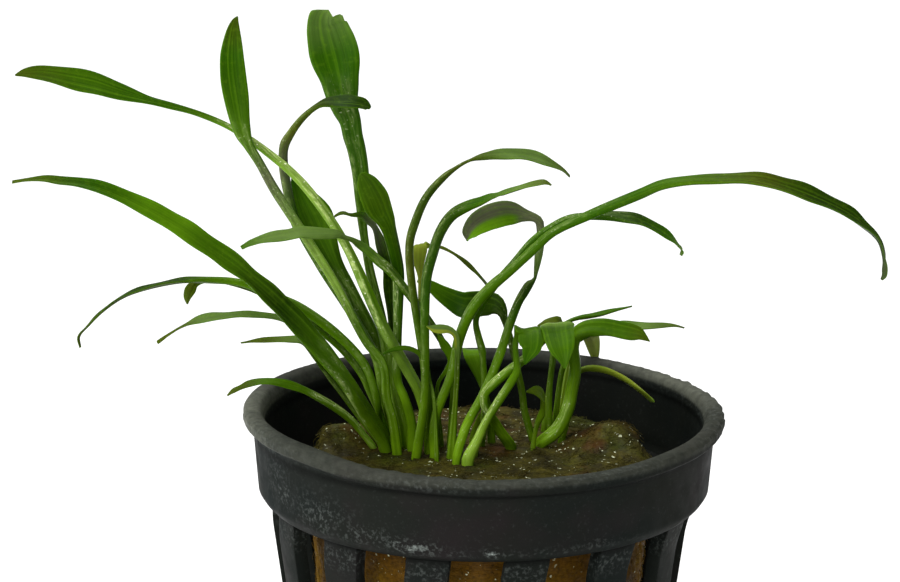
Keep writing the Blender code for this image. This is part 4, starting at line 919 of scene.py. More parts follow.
def pot_segment():
    """One slat with its share of the collar, flange and floor, about bearing 0."""
    half_pitch = 180.0 / SLAT_COUNT
    slot = np.linspace(SLAT_HALF_ANGLE, half_pitch, SLOT_STEPS // 2 + 1)
    slat = np.linspace(-SLAT_HALF_ANGLE, SLAT_HALF_ANGLE, SLAT_STEPS + 1)
    bearings = list(-slot[::-1]) + list(slat[1:-1]) + list(slot)
    sectors = len(bearings) - 1
    open_sectors = [abs(bearings[i] + bearings[i + 1]) > 2.0 * SLAT_HALF_ANGLE for i in range(sectors)]
    rows = []
    row_open = []
    for number, (row, following) in enumerate(zip(POT_ROWS, POT_ROWS[1:])):
        for step in range(row[4]):
            share = step / row[4]
            rows.append([blend(row[k], following[k], share) for k in range(4)])
            row_open.append(number in SLOT_ROWS or number in FLOOR_SLOT_ROWS)
    rows.append(list(POT_ROWS[-1][:4]))
    bm = bmesh.new()
    outer = [[bm.verts.new(round_place(r[0], b, r[1])) for b in bearings] for r in rows]
    inner = [[bm.verts.new(round_place(r[2], b, r[3])) for b in bearings] for r in rows]

    def solid(row, sector):
        if row < 0 or row >= len(row_open):
            return False
        if sector < 0 or sector >= sectors:
            return not row_open[row]
        return not (row_open[row] and open_sectors[sector])

    last = len(rows) - 1
    for row in range(last):
        for sector in range(sectors):
            if not solid(row, sector):
                continue
            after = sector + 1
            bm.faces.new((outer[row][sector], outer[row + 1][sector],
                          outer[row + 1][after], outer[row][after]))
            bm.faces.new((inner[row][sector], inner[row][after],
                          inner[row + 1][after], inner[row + 1][sector]))
            if 0 < sector and not solid(row, sector - 1):
                bm.faces.new((outer[row][sector], inner[row][sector],
                              inner[row + 1][sector], outer[row + 1][sector]))
            if after < sectors and not solid(row, after):
                bm.faces.new((outer[row][after], outer[row + 1][after],
                              inner[row + 1][after], inner[row][after]))
            if row == 0 or not solid(row - 1, sector):
                bm.faces.new((outer[row][sector], outer[row][after], inner[row][after], inner[row][sector]))
            if row + 1 < last and not solid(row + 1, sector):
                bm.faces.new((outer[row + 1][sector], inner[row + 1][sector],
                              inner[row + 1][after], outer[row + 1][after]))
    below = bm.verts.new((0.0, 0.0, POT_ROWS[-1][1]))
    above = bm.verts.new((0.0, 0.0, POT_ROWS[-1][3]))
    for sector in range(sectors):
        after = sector + 1
        bm.faces.new((outer[last][sector], below, outer[last][after]))
        bm.faces.new((inner[last][sector], inner[last][after], above))
        if not solid(last - 1, sector):
            bm.faces.new((outer[last][sector], outer[last][after], inner[last][after], inner[last][sector]))
    unused = [vert for vert in bm.verts if not vert.link_faces]
    bmesh.ops.delete(bm, geom=unused, context="VERTS")
    bmesh.ops.scale(bm, vec=(MM, MM, MM), verts=bm.verts)
    mesh = bpy.data.meshes.new("pot_segment")
    bm.to_mesh(mesh)
    bm.free()
    return mesh


def tree_input(tree, name, kind, default=None):
    """Add a named input to a geometry node tree and return its identifier."""
    socket = tree.interface.new_socket(name=name, in_out="INPUT", socket_type=kind)
    if default is not None:
        socket.default_value = default
    return socket.identifier


def ring_tree():
    """Geometry nodes that repeat a segment round the Z axis and weld the copies into one body."""
    tree = bpy.data.node_groups.new("Repeat round the axis", "GeometryNodeTree")
    inputs = {
        "segment": tree_input(tree, "Segment", "NodeSocketGeometry"),
        "count": tree_input(tree, "Count", "NodeSocketInt", SLAT_COUNT),
        "first": tree_input(tree, "First bearing", "NodeSocketFloat", math.radians(FIRST_SLAT_BEARING)),
        "weld": tree_input(tree, "Weld distance", "NodeSocketFloat", 0.01 * MM),
        "material": tree_input(tree, "Material", "NodeSocketMaterial"),
    }
    tree.interface.new_socket(name="Geometry", in_out="OUTPUT", socket_type="NodeSocketGeometry")
    nodes = tree.nodes
    link = tree.links.new
    given = nodes.new("NodeGroupInput")
    result = nodes.new("NodeGroupOutput")
    places = nodes.new("GeometryNodePoints")
    link(given.outputs["Count"], places.inputs["Count"])
    index = nodes.new("GeometryNodeInputIndex")
    whole = nodes.new("ShaderNodeMath")
    whole.operation = "DIVIDE"
    whole.inputs[0].default_value = 2.0 * math.pi
    link(given.outputs["Count"], whole.inputs[1])
    turn = nodes.new("ShaderNodeMath")
    turn.operation = "MULTIPLY_ADD"
    link(index.outputs["Index"], turn.inputs[0])
    link(whole.outputs["Value"], turn.inputs[1])
    link(given.outputs["First bearing"], turn.inputs[2])
    rotation = nodes.new("ShaderNodeCombineXYZ")
    link(turn.outputs["Value"], rotation.inputs["Z"])
    copies = nodes.new("GeometryNodeInstanceOnPoints")
    link(places.outputs[0], copies.inputs["Points"])
    link(given.outputs["Segment"], copies.inputs["Instance"])
    link(rotation.outputs["Vector"], copies.inputs["Rotation"])
    realized = nodes.new("GeometryNodeRealizeInstances")
    link(copies.outputs["Instances"], realized.inputs["Geometry"])
    weld = nodes.new("GeometryNodeMergeByDistance")
    link(realized.outputs["Geometry"], weld.inputs["Geometry"])
    link(given.outputs["Weld distance"], weld.inputs["Distance"])
    painted = nodes.new("GeometryNodeSetMaterial")
    link(weld.outputs["Geometry"], painted.inputs["Geometry"])
    link(given.outputs["Material"], painted.inputs["Material"])
    link(painted.outputs["Geometry"], result.inputs["Geometry"])
    return tree, inputs


def evaluated_mesh(thing, name):
    """The mesh that an object's modifiers make, as plain data of its own."""
    bpy.context.view_layer.update()
    graph = bpy.context.evaluated_depsgraph_get()
    mesh = bpy.data.meshes.new_from_object(thing.evaluated_get(graph))
    mesh.name = name
    bpy.data.objects.remove(thing, do_unlink=True)
    return mesh


def plastic_material(settings):
    """Worn black plastic: faint colour clouds, lime specks, scratches and a satin surface, with dust and
    painted sheen on the flange's top and painted shade under the flange and the collar.
    """
    material, tree, shader = new_material("worn black plastic")
    coords = tree.nodes.new("ShaderNodeTexCoord")
    place = coords.outputs["Object"]
    wear = tree.nodes.new("ShaderNodeAttribute")
    wear.attribute_name = "chalk"
    cloud = add_noise(tree, place, 60.0, 3.0)
    colour = add_mix(tree, add_range(tree, cloud, 0.35, 0.7), tuple(settings.plastic), shade(17, 23, 22))
    cloud_two = add_noise(tree, place, 95.0, 3.0)
    colour = add_mix(tree, add_range(tree, cloud_two, 0.5, 0.75, 0.0, 0.6), colour, shade(34, 28, 30))
    speck = add_noise(tree, place, 900.0, 4.0, 0.65)
    dot = add_noise(tree, place, 2300.0, 3.0, 0.65)
    dust = add_maths(tree, "MULTIPLY", add_range(tree, dot, 0.58, 0.74), 0.08)
    light_wear = add_maths(tree, "MULTIPLY", add_range(tree, dot, 0.5, 0.66), wear.outputs["Fac"])
    crusted = add_maths(tree, "ADD", speck, add_maths(tree, "MULTIPLY", wear.outputs["Fac"], 0.5))
    crust = add_range(tree, crusted, 0.88, 1.02)
    wearing = add_maths(tree, "MAXIMUM", light_wear, crust)
    colour = add_mix(tree, add_maths(tree, "MAXIMUM", dust, wearing), colour, tuple(settings.chalk))
    colour = add_mix(tree, add_range(tree, crusted, 1.04, 1.14), colour, shade(196, 208, 204))
    # Dust and painted sheen on the flange's top.
    film = tree.nodes.new("ShaderNodeAttribute")
    film.attribute_name = "film"
    dusted_sheen = add_maths(tree, "MULTIPLY", film.outputs["Fac"], add_range(tree, speck, 0.3, 0.6, 0.5, 1.0))
    colour = add_mix(tree, dusted_sheen, colour, shade(104, 106, 94))
    # Painted shade under the flange and the collar.
    damp = tree.nodes.new("ShaderNodeAttribute")
    damp.attribute_name = "damp"
    colour = add_mix(tree, damp.outputs["Fac"], colour, shade(4, 5, 4))
    tree.links.new(colour, shader.inputs["Base Color"])
    rough = add_range(tree, add_noise(tree, place, 400.0, 3.0), 0.3, 0.7, 0.5, 0.7)
    tree.links.new(rough, shader.inputs["Roughness"])
    streaks = add_noise(tree, scaled_vector(tree, place, (1.0, 1.0, 0.12)), 1500.0, 2.0)
    normal = add_bump(tree, streaks, 0.15, 0.03 * MM)
    normal = add_bump(tree, speck, 0.2, 0.05 * MM, normal)
    tree.links.new(normal, shader.inputs["Normal"])
    shader.inputs["Specular IOR Level"].default_value = 0.03
    return material


# Worn places as (bearing, height, width, depth, strength): lime patches and rubbed spots; the wide places on
# the flange's top at bearings -80 and 95 also stand for the painted sheen that the top catches.
CHALK_PLACES = (
    (-17.0, 42.0, 2.3, 0.75, 0.95), (-21.5, 42.3, 1.2, 0.5, 0.7), (-30.0, 42.6, 4.5, 1.2, 0.3),
    (-44.0, 43.6, 4.0, 2.2, 0.35), (-58.0, 44.4, 1.6, 1.4, 0.45), (1.5, 41.7, 0.8, 0.5, 1.0),
    (27.0, 42.0, 2.0, 0.5, 0.3), (-2.0, 41.6, 9.0, 0.5, 0.2), (20.0, 41.6, 9.0, 0.5, 0.2),
    (-80.0, 50.2, 12.0, 2.2, 0.42), (-62.0, 47.0, 3.0, 4.0, 0.2), (95.0, 50.2, 14.0, 1.6, 0.3),
    (-12.0, 49.6, 9.0, 0.6, 0.3), (24.0, 50.0, 11.0, 0.7, 0.22),
)


# Dust with a painted sheen on the flange's top as (bearing, spread, strength), and painted shade under the
# flange and the collar as (height, depth, strength)
DUST_AND_SHEEN_PLACES = ((-84.0, 26.0, 0.75), (118.0, 30.0, 0.8))
OVERHANG_SHADE_LEVELS = ((48.35, 0.4, 0.75), (40.2, 0.45, 0.8))


def wear_pot(mesh):
    """Roughen the flange's outer edge, and mark where lime and dust sit, where dust and painted sheen cover
    the flange's top and where painted shade falls under the flange and the collar.
    """
    count = len(mesh.vertices)
    places = np.empty(count * 3)
    mesh.vertices.foreach_get("co", places)
    places = places.reshape(-1, 3) / MM
    radius = np.hypot(places[:, 0], places[:, 1])
    bearing = np.degrees(np.arctan2(places[:, 0], -places[:, 1]))
    height = places[:, 2]
    lip = smoothstep(26.9, 27.5, radius) * smoothstep(48.5, 49.1, height)
    ragged = np.array([noise.noise(Vector((b * 0.9, 3.0, 0.0))) for b in bearing])
    fine_ragged = np.array([noise.noise(Vector((b * 0.34, 9.0, 0.0))) for b in bearing])
    flash = smoothstep(62.0, 80.0, bearing) * (1.0 - smoothstep(150.0, 165.0, bearing))
    bumps = np.clip(ragged - 0.15, 0.0, 1.0) * lip
    grow = 1.0 + (0.25 * bumps + 0.5 * flash * fine_ragged * lip) / np.maximum(radius, 1.0)
    places[:, 0] *= grow
    places[:, 1] *= grow
    places[:, 2] -= 0.5 * bumps - 0.35 * flash * fine_ragged * lip
    nicks = np.exp(-((bearing + 18.0) / 16.0) ** 2)
    nicks *= smoothstep(25.4, 25.8, radius) * smoothstep(49.0, 49.6, height)
    places[:, 2] += 0.22 * nicks * np.sign(fine_ragged) * np.abs(fine_ragged) ** 0.6
    places[:, 0] += MOUTH_SHIFT * smoothstep(36.5, 41.0, height)
    for (start, low), (end, high) in zip(RIM_LIFTS, RIM_LIFTS[1:]):
        within = (bearing >= start) & (bearing < end)
        lift = blend(low, high, smoothstep(start, end, bearing))
        places[:, 2] += np.where(within, lift * smoothstep(40.5, 49.5, height), 0.0)
    chalk = np.zeros(count)
    for at, level, wide, deep, strength in CHALK_PLACES:
        across = (bearing - at) * math.radians(1.0) * 25.6 / wide
        up = (height - level) / deep
        chalk = np.maximum(chalk, strength * np.exp(-(across ** 2 + up ** 2)) * (radius > 23.0))
    slat_top = smoothstep(36.0, 39.0, height) * (1.0 - smoothstep(39.6, 40.2, height)) * 0.24
    chalk = np.maximum(chalk, slat_top)
    # Dust and painted sheen on the flange's top.
    level_top = smoothstep(49.2, 49.7, height)
    film = 0.22 * level_top
    for at, spread, most in DUST_AND_SHEEN_PLACES:
        film = np.maximum(film, most * level_top * np.exp(-((bearing - at) / spread) ** 2))
    # Painted shade under the flange and the collar.
    damp = np.zeros(count)
    for level, deep, most in OVERHANG_SHADE_LEVELS:
        damp = np.maximum(damp, most * np.exp(-((height - level) / deep) ** 2) * (radius > 23.0))
    mesh.vertices.foreach_set("co", (places * MM).ravel())
    for name, values in (("chalk", chalk), ("film", film), ("damp", damp)):
        layer = mesh.attributes.new(name, "FLOAT", "POINT")
        layer.data.foreach_set("value", values)
    mesh.update()


class CRYPTOCORYNE_OT_net_pot(bpy.types.Operator):
    """Build the net pot from one segment repeated round its axis, with rounded and worn edges"""
    bl_idname = "cryptocoryne.net_pot"
    bl_label = "Build net pot"

    def execute(self, context):
        settings = context.scene.cryptocoryne_pot
        segment = bpy.data.objects.new("pot_segment", pot_segment())
        context.scene.collection.objects.link(segment)
        tree, inputs = ring_tree()
        repeat = segment.modifiers.new("repeat", "NODES")
        repeat.node_group = tree
        repeat[inputs["count"]] = settings.slats
        repeat[inputs["first"]] = math.radians(FIRST_SLAT_BEARING)
        repeat[inputs["material"]] = plastic_material(settings)
        rounded = segment.modifiers.new("round edges", "BEVEL")
        rounded.width = settings.edge_round
        rounded.segments = 2
        rounded.limit_method = "ANGLE"
        rounded.angle_limit = math.radians(40.0)
        mesh = evaluated_mesh(segment, "net_pot_fine")
        if len(mesh.polygons) < 1000:
            raise RuntimeError("the net pot came out empty")
        wear_pot(mesh)
        mesh.shade_smooth()
        mesh.set_sharp_from_angle(angle=math.radians(34.0))
        new_piece("net_pot_fine", mesh, ["net_pot"])
        return {"FINISHED"}


# Rock wool

WOOL_TOP = 45.2
WOOL_MOUNDS = (
    {"centre": (-16.2, 3.0), "spread": 5.0, "rise": 2.4},
    {"centre": (15.0, 2.5), "spread": 6.6, "rise": 2.7},
)
WOOL_SIDE = ((18.7, 45.0), (19.5, 44.4), (19.8, 43.7), (19.3, 36.5), (16.5, 1.95))
WOOL_SECTORS = 200


class WoolSettings(bpy.types.PropertyGroup):
    fibres: IntProperty(
        name="Fibres", description="How many loose fibres lie on the plug", default=5200, min=0)
    fibre_length: FloatProperty(
        name="Fibre length", description="Length of the longest fibres",
        default=3.0 * MM, min=0.2 * MM, unit="LENGTH", subtype="DISTANCE")
    fibre_radius: FloatProperty(
        name="Fibre radius", description="Half the thickness of a fibre",
        default=0.028 * MM, min=0.005 * MM, unit="LENGTH", subtype="DISTANCE")
    wool: FloatVectorProperty(
        name="Wool", description="Colour of the wet wool on top",
        default=shade(80, 74, 22), size=3, min=0.0, max=1.0, subtype="COLOR")
    amber: FloatVectorProperty(
        name="Amber", description="Colour of the wool on its sides",
        default=shade(112, 84, 12), size=3, min=0.0, max=1.0, subtype="COLOR")


def wool_height(right, back):
    """Height of the wool's top: nearly level, with a mound on each side."""
    height = WOOL_TOP
    for mound in WOOL_MOUNDS:
        distance = math.dist((right, back), mound["centre"])
        if distance < mound["spread"]:
            height += mound["rise"] * 0.5 * (1.0 + math.cos(math.pi * distance / mound["spread"]))
    return height


def wool_mesh(material):
    """A tapered plug, its surface pulled into lumps and pits."""
    rings = []
    for radius in np.linspace(0.35, 18.4, 52):
        rings.append([round_place(radius, 360.0 * s / WOOL_SECTORS, None) for s in range(WOOL_SECTORS)])
        rings[-1] = [(x, y, wool_height(x, y)) for x, y, unused in rings[-1]]
    side_rows = (2, 2, 10, 60)
    for (start, end), steps in zip(zip(WOOL_SIDE, WOOL_SIDE[1:]), side_rows):
        for step in range(steps):
            share = step / steps
            radius = blend(start[0], end[0], share)
            level = blend(start[1], end[1], share)
            rings.append([round_place(radius, 360.0 * s / WOOL_SECTORS, level) for s in range(WOOL_SECTORS)])
    radius, level = WOOL_SIDE[-1]
    rings.append([round_place(radius, 360.0 * s / WOOL_SECTORS, level) for s in range(WOOL_SECTORS)])

    bm = bmesh.new()
    grid = [[bm.verts.new(place) for place in ring] for ring in rings]
    centre = bm.verts.new((0.0, 0.0, wool_height(0.0, 0.0)))
    foot = bm.verts.new((0.0, 0.0, level))
    for index in range(WOOL_SECTORS):
        after = (index + 1) % WOOL_SECTORS
        bm.faces.new((centre, grid[0][index], grid[0][after]))
        for ring, following in zip(grid, grid[1:]):
            bm.faces.new((ring[index], following[index], following[after], ring[after]))
        bm.faces.new((grid[-1][index], foot, grid[-1][after]))
    bmesh.ops.recalc_face_normals(bm, faces=bm.faces)
    bm.normal_update()
    for vert in bm.verts:
        if vert.co.z < 2.2:
            continue
        place = vert.co
        lump = noise.fractal(place * 0.35, 1.0, 2.0, 3)
        grain = noise.fractal(place * 1.8, 1.0, 2.0, 3)
        vert.co += vert.normal * (0.28 * lump + 0.13 * grain)
    bmesh.ops.scale(bm, vec=(MM, MM, MM), verts=bm.verts)
    mesh = bpy.data.meshes.new("rock_wool_fine")
    bm.to_mesh(mesh)
    bm.free()
    mesh.shade_smooth()
    mesh.materials.append(material)
    return mesh


def wool_material(name, settings, darkness):
    """Wet mineral wool: brown and olive with matted strands on top, amber down the sides, darker under the
    collar as painted shade, with painted glints of water.
    """
    material, tree, shader = new_material(name)
    coords = tree.nodes.new("ShaderNodeTexCoord")
    place = coords.outputs["Object"]
    parts = tree.nodes.new("ShaderNodeSeparateXYZ")
    tree.links.new(place, parts.inputs["Vector"])
    height = parts.outputs["Z"]
    top = add_range(tree, height, 40.5 * MM, 44.5 * MM)
    shaded = add_range(tree, height, 34.0 * MM, 41.0 * MM)
    amber = add_mix(tree, shaded, tuple(settings.amber), shade(58, 20, 6))
    patch = add_range(tree, add_noise(tree, place, 330.0, 4.0), 0.35, 0.65)
    amber = add_mix(tree, patch, amber, shade(96, 66, 10))
    olive = add_mix(tree, patch, tuple(settings.wool), shade(44, 40, 16))
    green = add_range(tree, add_noise(tree, place, 140.0, 3.0), 0.52, 0.68, 0.0, 0.55)
    olive = add_mix(tree, green, olive, shade(58, 70, 14))
    colour = add_mix(tree, top, amber, olive)
    fine = add_noise(tree, place, 2400.0, 3.0, 0.6)
    colour = add_mix(tree, add_range(tree, fine, 0.3, 0.62, 0.55, 0.0), colour, shade(14, 11, 4))
    red = add_range(tree, add_noise(tree, place, 190.0, 3.0), 0.56, 0.7, 0.0, 0.5)
    colour = add_mix(tree, add_maths(tree, "MULTIPLY", red, top), colour, shade(74, 38, 14))
    if darkness:
        colour = add_mix(tree, darkness, colour, shade(120, 112, 50))
    # Painted highlight: pale glints of water scattered over the wool.
    painted_sparkle = add_range(tree, add_noise(tree, place, 2000.0, 1.0), 0.7, 0.735)
    sparse = add_range(tree, add_noise(tree, place, 260.0, 2.0), 0.42, 0.56)
    colour = add_mix(tree, add_maths(tree, "MULTIPLY", painted_sparkle, sparse), colour, shade(226, 232, 196))
    tree.links.new(colour, shader.inputs["Base Color"])
    rough = add_range(tree, add_noise(tree, place, 900.0, 2.0), 0.4, 0.62, 0.5, 0.85)
    tree.links.new(rough, shader.inputs["Roughness"])
    strands = add_noise(tree, scaled_vector(tree, place, (0.3, 0.7, 1.6)), 2200.0, 3.0, 0.6)
    normal = add_bump(tree, strands, 0.8, 0.18 * MM)
    tree.links.new(normal, shader.inputs["Normal"])
    shader.inputs["Specular IOR Level"].default_value = 0.08
    return material


def fibre_tree():
    """Geometry nodes that lay bent fibres over a surface."""
    tree = bpy.data.node_groups.new("Loose fibres", "GeometryNodeTree")
    inputs = {
        "surface": tree_input(tree, "Surface", "NodeSocketGeometry"),
        "density": tree_input(tree, "Density", "NodeSocketFloat", 1.0e6),
        "length": tree_input(tree, "Length", "NodeSocketFloat", 4.0 * MM),
        "radius": tree_input(tree, "Radius", "NodeSocketFloat", 0.03 * MM),
        "bend": tree_input(tree, "Bend", "NodeSocketFloat", 1.2 * MM),
        "seed": tree_input(tree, "Seed", "NodeSocketInt", 3),
        "material": tree_input(tree, "Material", "NodeSocketMaterial"),
    }
    tree.interface.new_socket(name="Geometry", in_out="OUTPUT", socket_type="NodeSocketGeometry")
    nodes = tree.nodes
    link = tree.links.new
    given = nodes.new("NodeGroupInput")
    result = nodes.new("NodeGroupOutput")

    scatter = nodes.new("GeometryNodeDistributePointsOnFaces")
    link(given.outputs["Surface"], scatter.inputs["Mesh"])
    link(given.outputs["Density"], scatter.inputs["Density"])
    link(given.outputs["Seed"], scatter.inputs["Seed"])

    spin = nodes.new("FunctionNodeRandomValue")
    spin.data_type = "FLOAT"
    spin.inputs[2].default_value = 0.0
    spin.inputs[3].default_value = 2.0 * math.pi
    link(given.outputs["Seed"], spin.inputs["Seed"])
    spin_angles = nodes.new("ShaderNodeCombineXYZ")
    link(spin.outputs[1], spin_angles.inputs["Z"])
    spun = nodes.new("FunctionNodeRotateRotation")
    spun.rotation_space = "LOCAL"
    link(scatter.outputs["Rotation"], spun.inputs["Rotation"])
    link(spin_angles.outputs["Vector"], spun.inputs["Rotate By"])
    tilt = nodes.new("FunctionNodeRandomValue")
    tilt.data_type = "FLOAT"
    tilt.inputs[2].default_value = math.radians(74.0)
    tilt.inputs[3].default_value = math.radians(94.0)
    tilt_angles = nodes.new("ShaderNodeCombineXYZ")
    link(tilt.outputs[1], tilt_angles.inputs["X"])
    tilted = nodes.new("FunctionNodeRotateRotation")
    tilted.rotation_space = "LOCAL"
    link(spun.outputs["Rotation"], tilted.inputs["Rotation"])
    link(tilt_angles.outputs["Vector"], tilted.inputs["Rotate By"])

    strand = nodes.new("GeometryNodeCurvePrimitiveLine")
    strand.inputs["Start"].default_value = (0.0, 0.0, -0.5)
    strand.inputs["End"].default_value = (0.0, 0.0, 0.5)
    size = nodes.new("FunctionNodeRandomValue")
    size.data_type = "FLOAT"
    size.inputs[2].default_value = 0.25
    size.inputs[3].default_value = 1.0
    scale = nodes.new("ShaderNodeMath")
    scale.operation = "MULTIPLY"
    link(size.outputs[1], scale.inputs[0])
    link(given.outputs["Length"], scale.inputs[1])
    copies = nodes.new("GeometryNodeInstanceOnPoints")
    link(scatter.outputs["Points"], copies.inputs["Points"])
    link(strand.outputs["Curve"], copies.inputs["Instance"])
    link(tilted.outputs["Rotation"], copies.inputs["Rotation"])
    link(scale.outputs["Value"], copies.inputs["Scale"])
    realized = nodes.new("GeometryNodeRealizeInstances")
    link(copies.outputs["Instances"], realized.inputs["Geometry"])
    resampled = nodes.new("GeometryNodeResampleCurve")
    resampled.inputs["Count"].default_value = 6
    link(realized.outputs["Geometry"], resampled.inputs["Curve"])

    wander = nodes.new("ShaderNodeTexNoise")
    wander.noise_dimensions = "3D"
    wander.inputs["Scale"].default_value = 420.0
    wander.inputs["Detail"].default_value = 1.0
    position = nodes.new("GeometryNodeInputPosition")
    link(position.outputs["Position"], wander.inputs["Vector"])
    centred = nodes.new("ShaderNodeVectorMath")
    centred.operation = "SUBTRACT"
    link(wander.outputs["Color"], centred.inputs[0])
    centred.inputs[1].default_value = (0.5, 0.5, 0.55)
    offset = nodes.new("ShaderNodeVectorMath")
    offset.operation = "SCALE"
    link(centred.outputs["Vector"], offset.inputs[0])
    link(given.outputs["Bend"], offset.inputs["Scale"])
    bent = nodes.new("GeometryNodeSetPosition")
    link(resampled.outputs["Curve"], bent.inputs["Geometry"])
    link(offset.outputs["Vector"], bent.inputs["Offset"])

    ring = nodes.new("GeometryNodeCurvePrimitiveCircle")
    ring.inputs["Resolution"].default_value = 3
    link(given.outputs["Radius"], ring.inputs["Radius"])
    tube = nodes.new("GeometryNodeCurveToMesh")
    tube.inputs["Fill Caps"].default_value = True
    link(bent.outputs["Geometry"], tube.inputs["Curve"])
    link(ring.outputs["Curve"], tube.inputs["Profile Curve"])
    painted = nodes.new("GeometryNodeSetMaterial")
    link(tube.outputs["Mesh"], painted.inputs["Geometry"])
    link(given.outputs["Material"], painted.inputs["Material"])
    link(painted.outputs["Geometry"], result.inputs["Geometry"])
    return tree, inputs


class CRYPTOCORYNE_OT_rock_wool(bpy.types.Operator):
    """Build the wet rock wool plug with its mounds, pits and matted surface"""
    bl_idname = "cryptocoryne.rock_wool"
    bl_label = "Build rock wool"

    def execute(self, context):
        settings = context.scene.cryptocoryne_wool
        mesh = wool_mesh(wool_material("wet rock wool", settings, 0.0))
        new_piece("rock_wool_fine", mesh, ["rock_wool_plug"])
        return {"FINISHED"}


class CRYPTOCORYNE_OT_fibres(bpy.types.Operator):
    """Lay loose fibres over the top and the sides of the wool"""
    bl_idname = "cryptocoryne.fibres"
    bl_label = "Lay fibres"

    def execute(self, context):
        settings = context.scene.cryptocoryne_wool
        wool = bpy.data.objects.get("rock_wool_fine")
        if wool is None:
            raise RuntimeError("build the rock wool before its fibres")
        material = wool_material("wool fibres", settings, 0.12)
        for name, is_top in (("wool_fibres_top", True), ("wool_fibres_side", False)):
            bm = bmesh.new()
            bm.from_mesh(wool.data)
            far = []
            for face in bm.faces:
                middle = face.calc_center_median()
                on_top = middle.z > 43.9 * MM
                on_side = 6.0 * MM < middle.z < 43.9 * MM
                if (is_top and not on_top) or (not is_top and not on_side):
                    far.append(face)
            bmesh.ops.delete(bm, geom=far, context="FACES")
            area = sum(face.calc_area() for face in bm.faces)
            patch = bpy.data.meshes.new(name)
            bm.to_mesh(patch)
            bm.free()
            thing = bpy.data.objects.new(name + "_patch", patch)
            context.scene.collection.objects.link(thing)
            tree, inputs = fibre_tree()
            lay = thing.modifiers.new("fibres", "NODES")
            lay.node_group = tree
            lay[inputs["density"]] = settings.fibres / area
            lay[inputs["length"]] = settings.fibre_length
            lay[inputs["radius"]] = settings.fibre_radius
            lay[inputs["seed"]] = 3 if is_top else 8
            lay[inputs["material"]] = material
            mesh = evaluated_mesh(thing, name)
            if len(mesh.polygons) < 100:
                raise RuntimeError("no fibres were laid")
            new_piece(name, mesh, [])
        return {"FINISHED"}


def crown_material():
    """Dull plant tissue, browned where it meets the wool."""
    material, tree, shader = new_material("crown tissue")
    coords = tree.nodes.new("ShaderNodeTexCoord")
    place = coords.outputs["Object"]
    patch = add_noise(tree, place, 500.0, 4.0)
    colour = add_mix(tree, add_range(tree, patch, 0.35, 0.65), shade(86, 96, 30), shade(60, 44, 16))
    tree.links.new(colour, shader.inputs["Base Color"])
    rough = add_range(tree, patch, 0.3, 0.7, 0.4, 0.7)
    tree.links.new(rough, shader.inputs["Roughness"])
    normal = add_bump(tree, add_noise(tree, place, 1500.0, 3.0), 0.6, 0.1 * MM)
    tree.links.new(normal, shader.inputs["Normal"])
    return material


class CRYPTOCORYNE_OT_crowns(bpy.types.Operator):
    """Give the crowns their tissue"""
    bl_idname = "cryptocoryne.crowns"
    bl_label = "Finish crowns"

    def execute(self, context):
        material = crown_material()
        crowns = [thing for name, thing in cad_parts.items() if name.startswith("crown_")]
        if not crowns:
            raise RuntimeError("the frame holds no crowns")
        for crown in crowns:
            crown.data.materials.clear()
            crown.data.materials.append(material)
        return {"FINISHED"}


# Stage

CAMERA_PLACE = (-3.4, -291.6, 134.6)
CAMERA_TILT = 76.43
FRONT_PLACE = (-0.16, -0.42, 0.30)
SIDE_PLACE = (-0.45, -0.12, 0.16)
SOFT_LIGHT_SIZE = 0.18


class StageSettings(bpy.types.PropertyGroup):
    lens: FloatProperty(
        name="Lens", description="Focal length of the camera in millimetres",
        default=105.64, min=10.0)
    floor_radius: FloatProperty(
        name="Floor radius", description="Radius of the pale floor",
        default=4.0, min=0.2, unit="LENGTH", subtype="DISTANCE")
    floor_colour: FloatVectorProperty(
        name="Floor", description="Colour of the floor",
        default=shade(250, 250, 250), size=3, min=0.0, max=1.0, subtype="COLOR")
    sky: FloatProperty(
        name="Surround", description="Strength of the even light from all round", default=0.28, min=0.0)
    overhead: FloatProperty(
        name="Overhead", description="Strength of the broad light from above", default=3.0, min=0.0)
    front: FloatProperty(
        name="Front", description="Power of the soft light beside the camera", default=1.0, min=0.0)
    side: FloatProperty(
        name="Side", description="Power of the soft light on the left", default=1.1, min=0.0)


def floor_material(colour):
    """Matt pale card with the faintest tooth."""
    material, tree, shader = new_material("pale floor")
    coords = tree.nodes.new("ShaderNodeTexCoord")
    tooth = add_noise(tree, coords.outputs["Object"], 40.0, 2.0)
    tint = add_mix(tree, add_range(tree, tooth, 0.3, 0.7, 0.0, 0.05), colour, shade(225, 225, 225))
    tree.links.new(tint, shader.inputs["Base Color"])
    shader.inputs["Roughness"].default_value = 0.9
    shader.inputs["Specular IOR Level"].default_value = 0.1
    return material


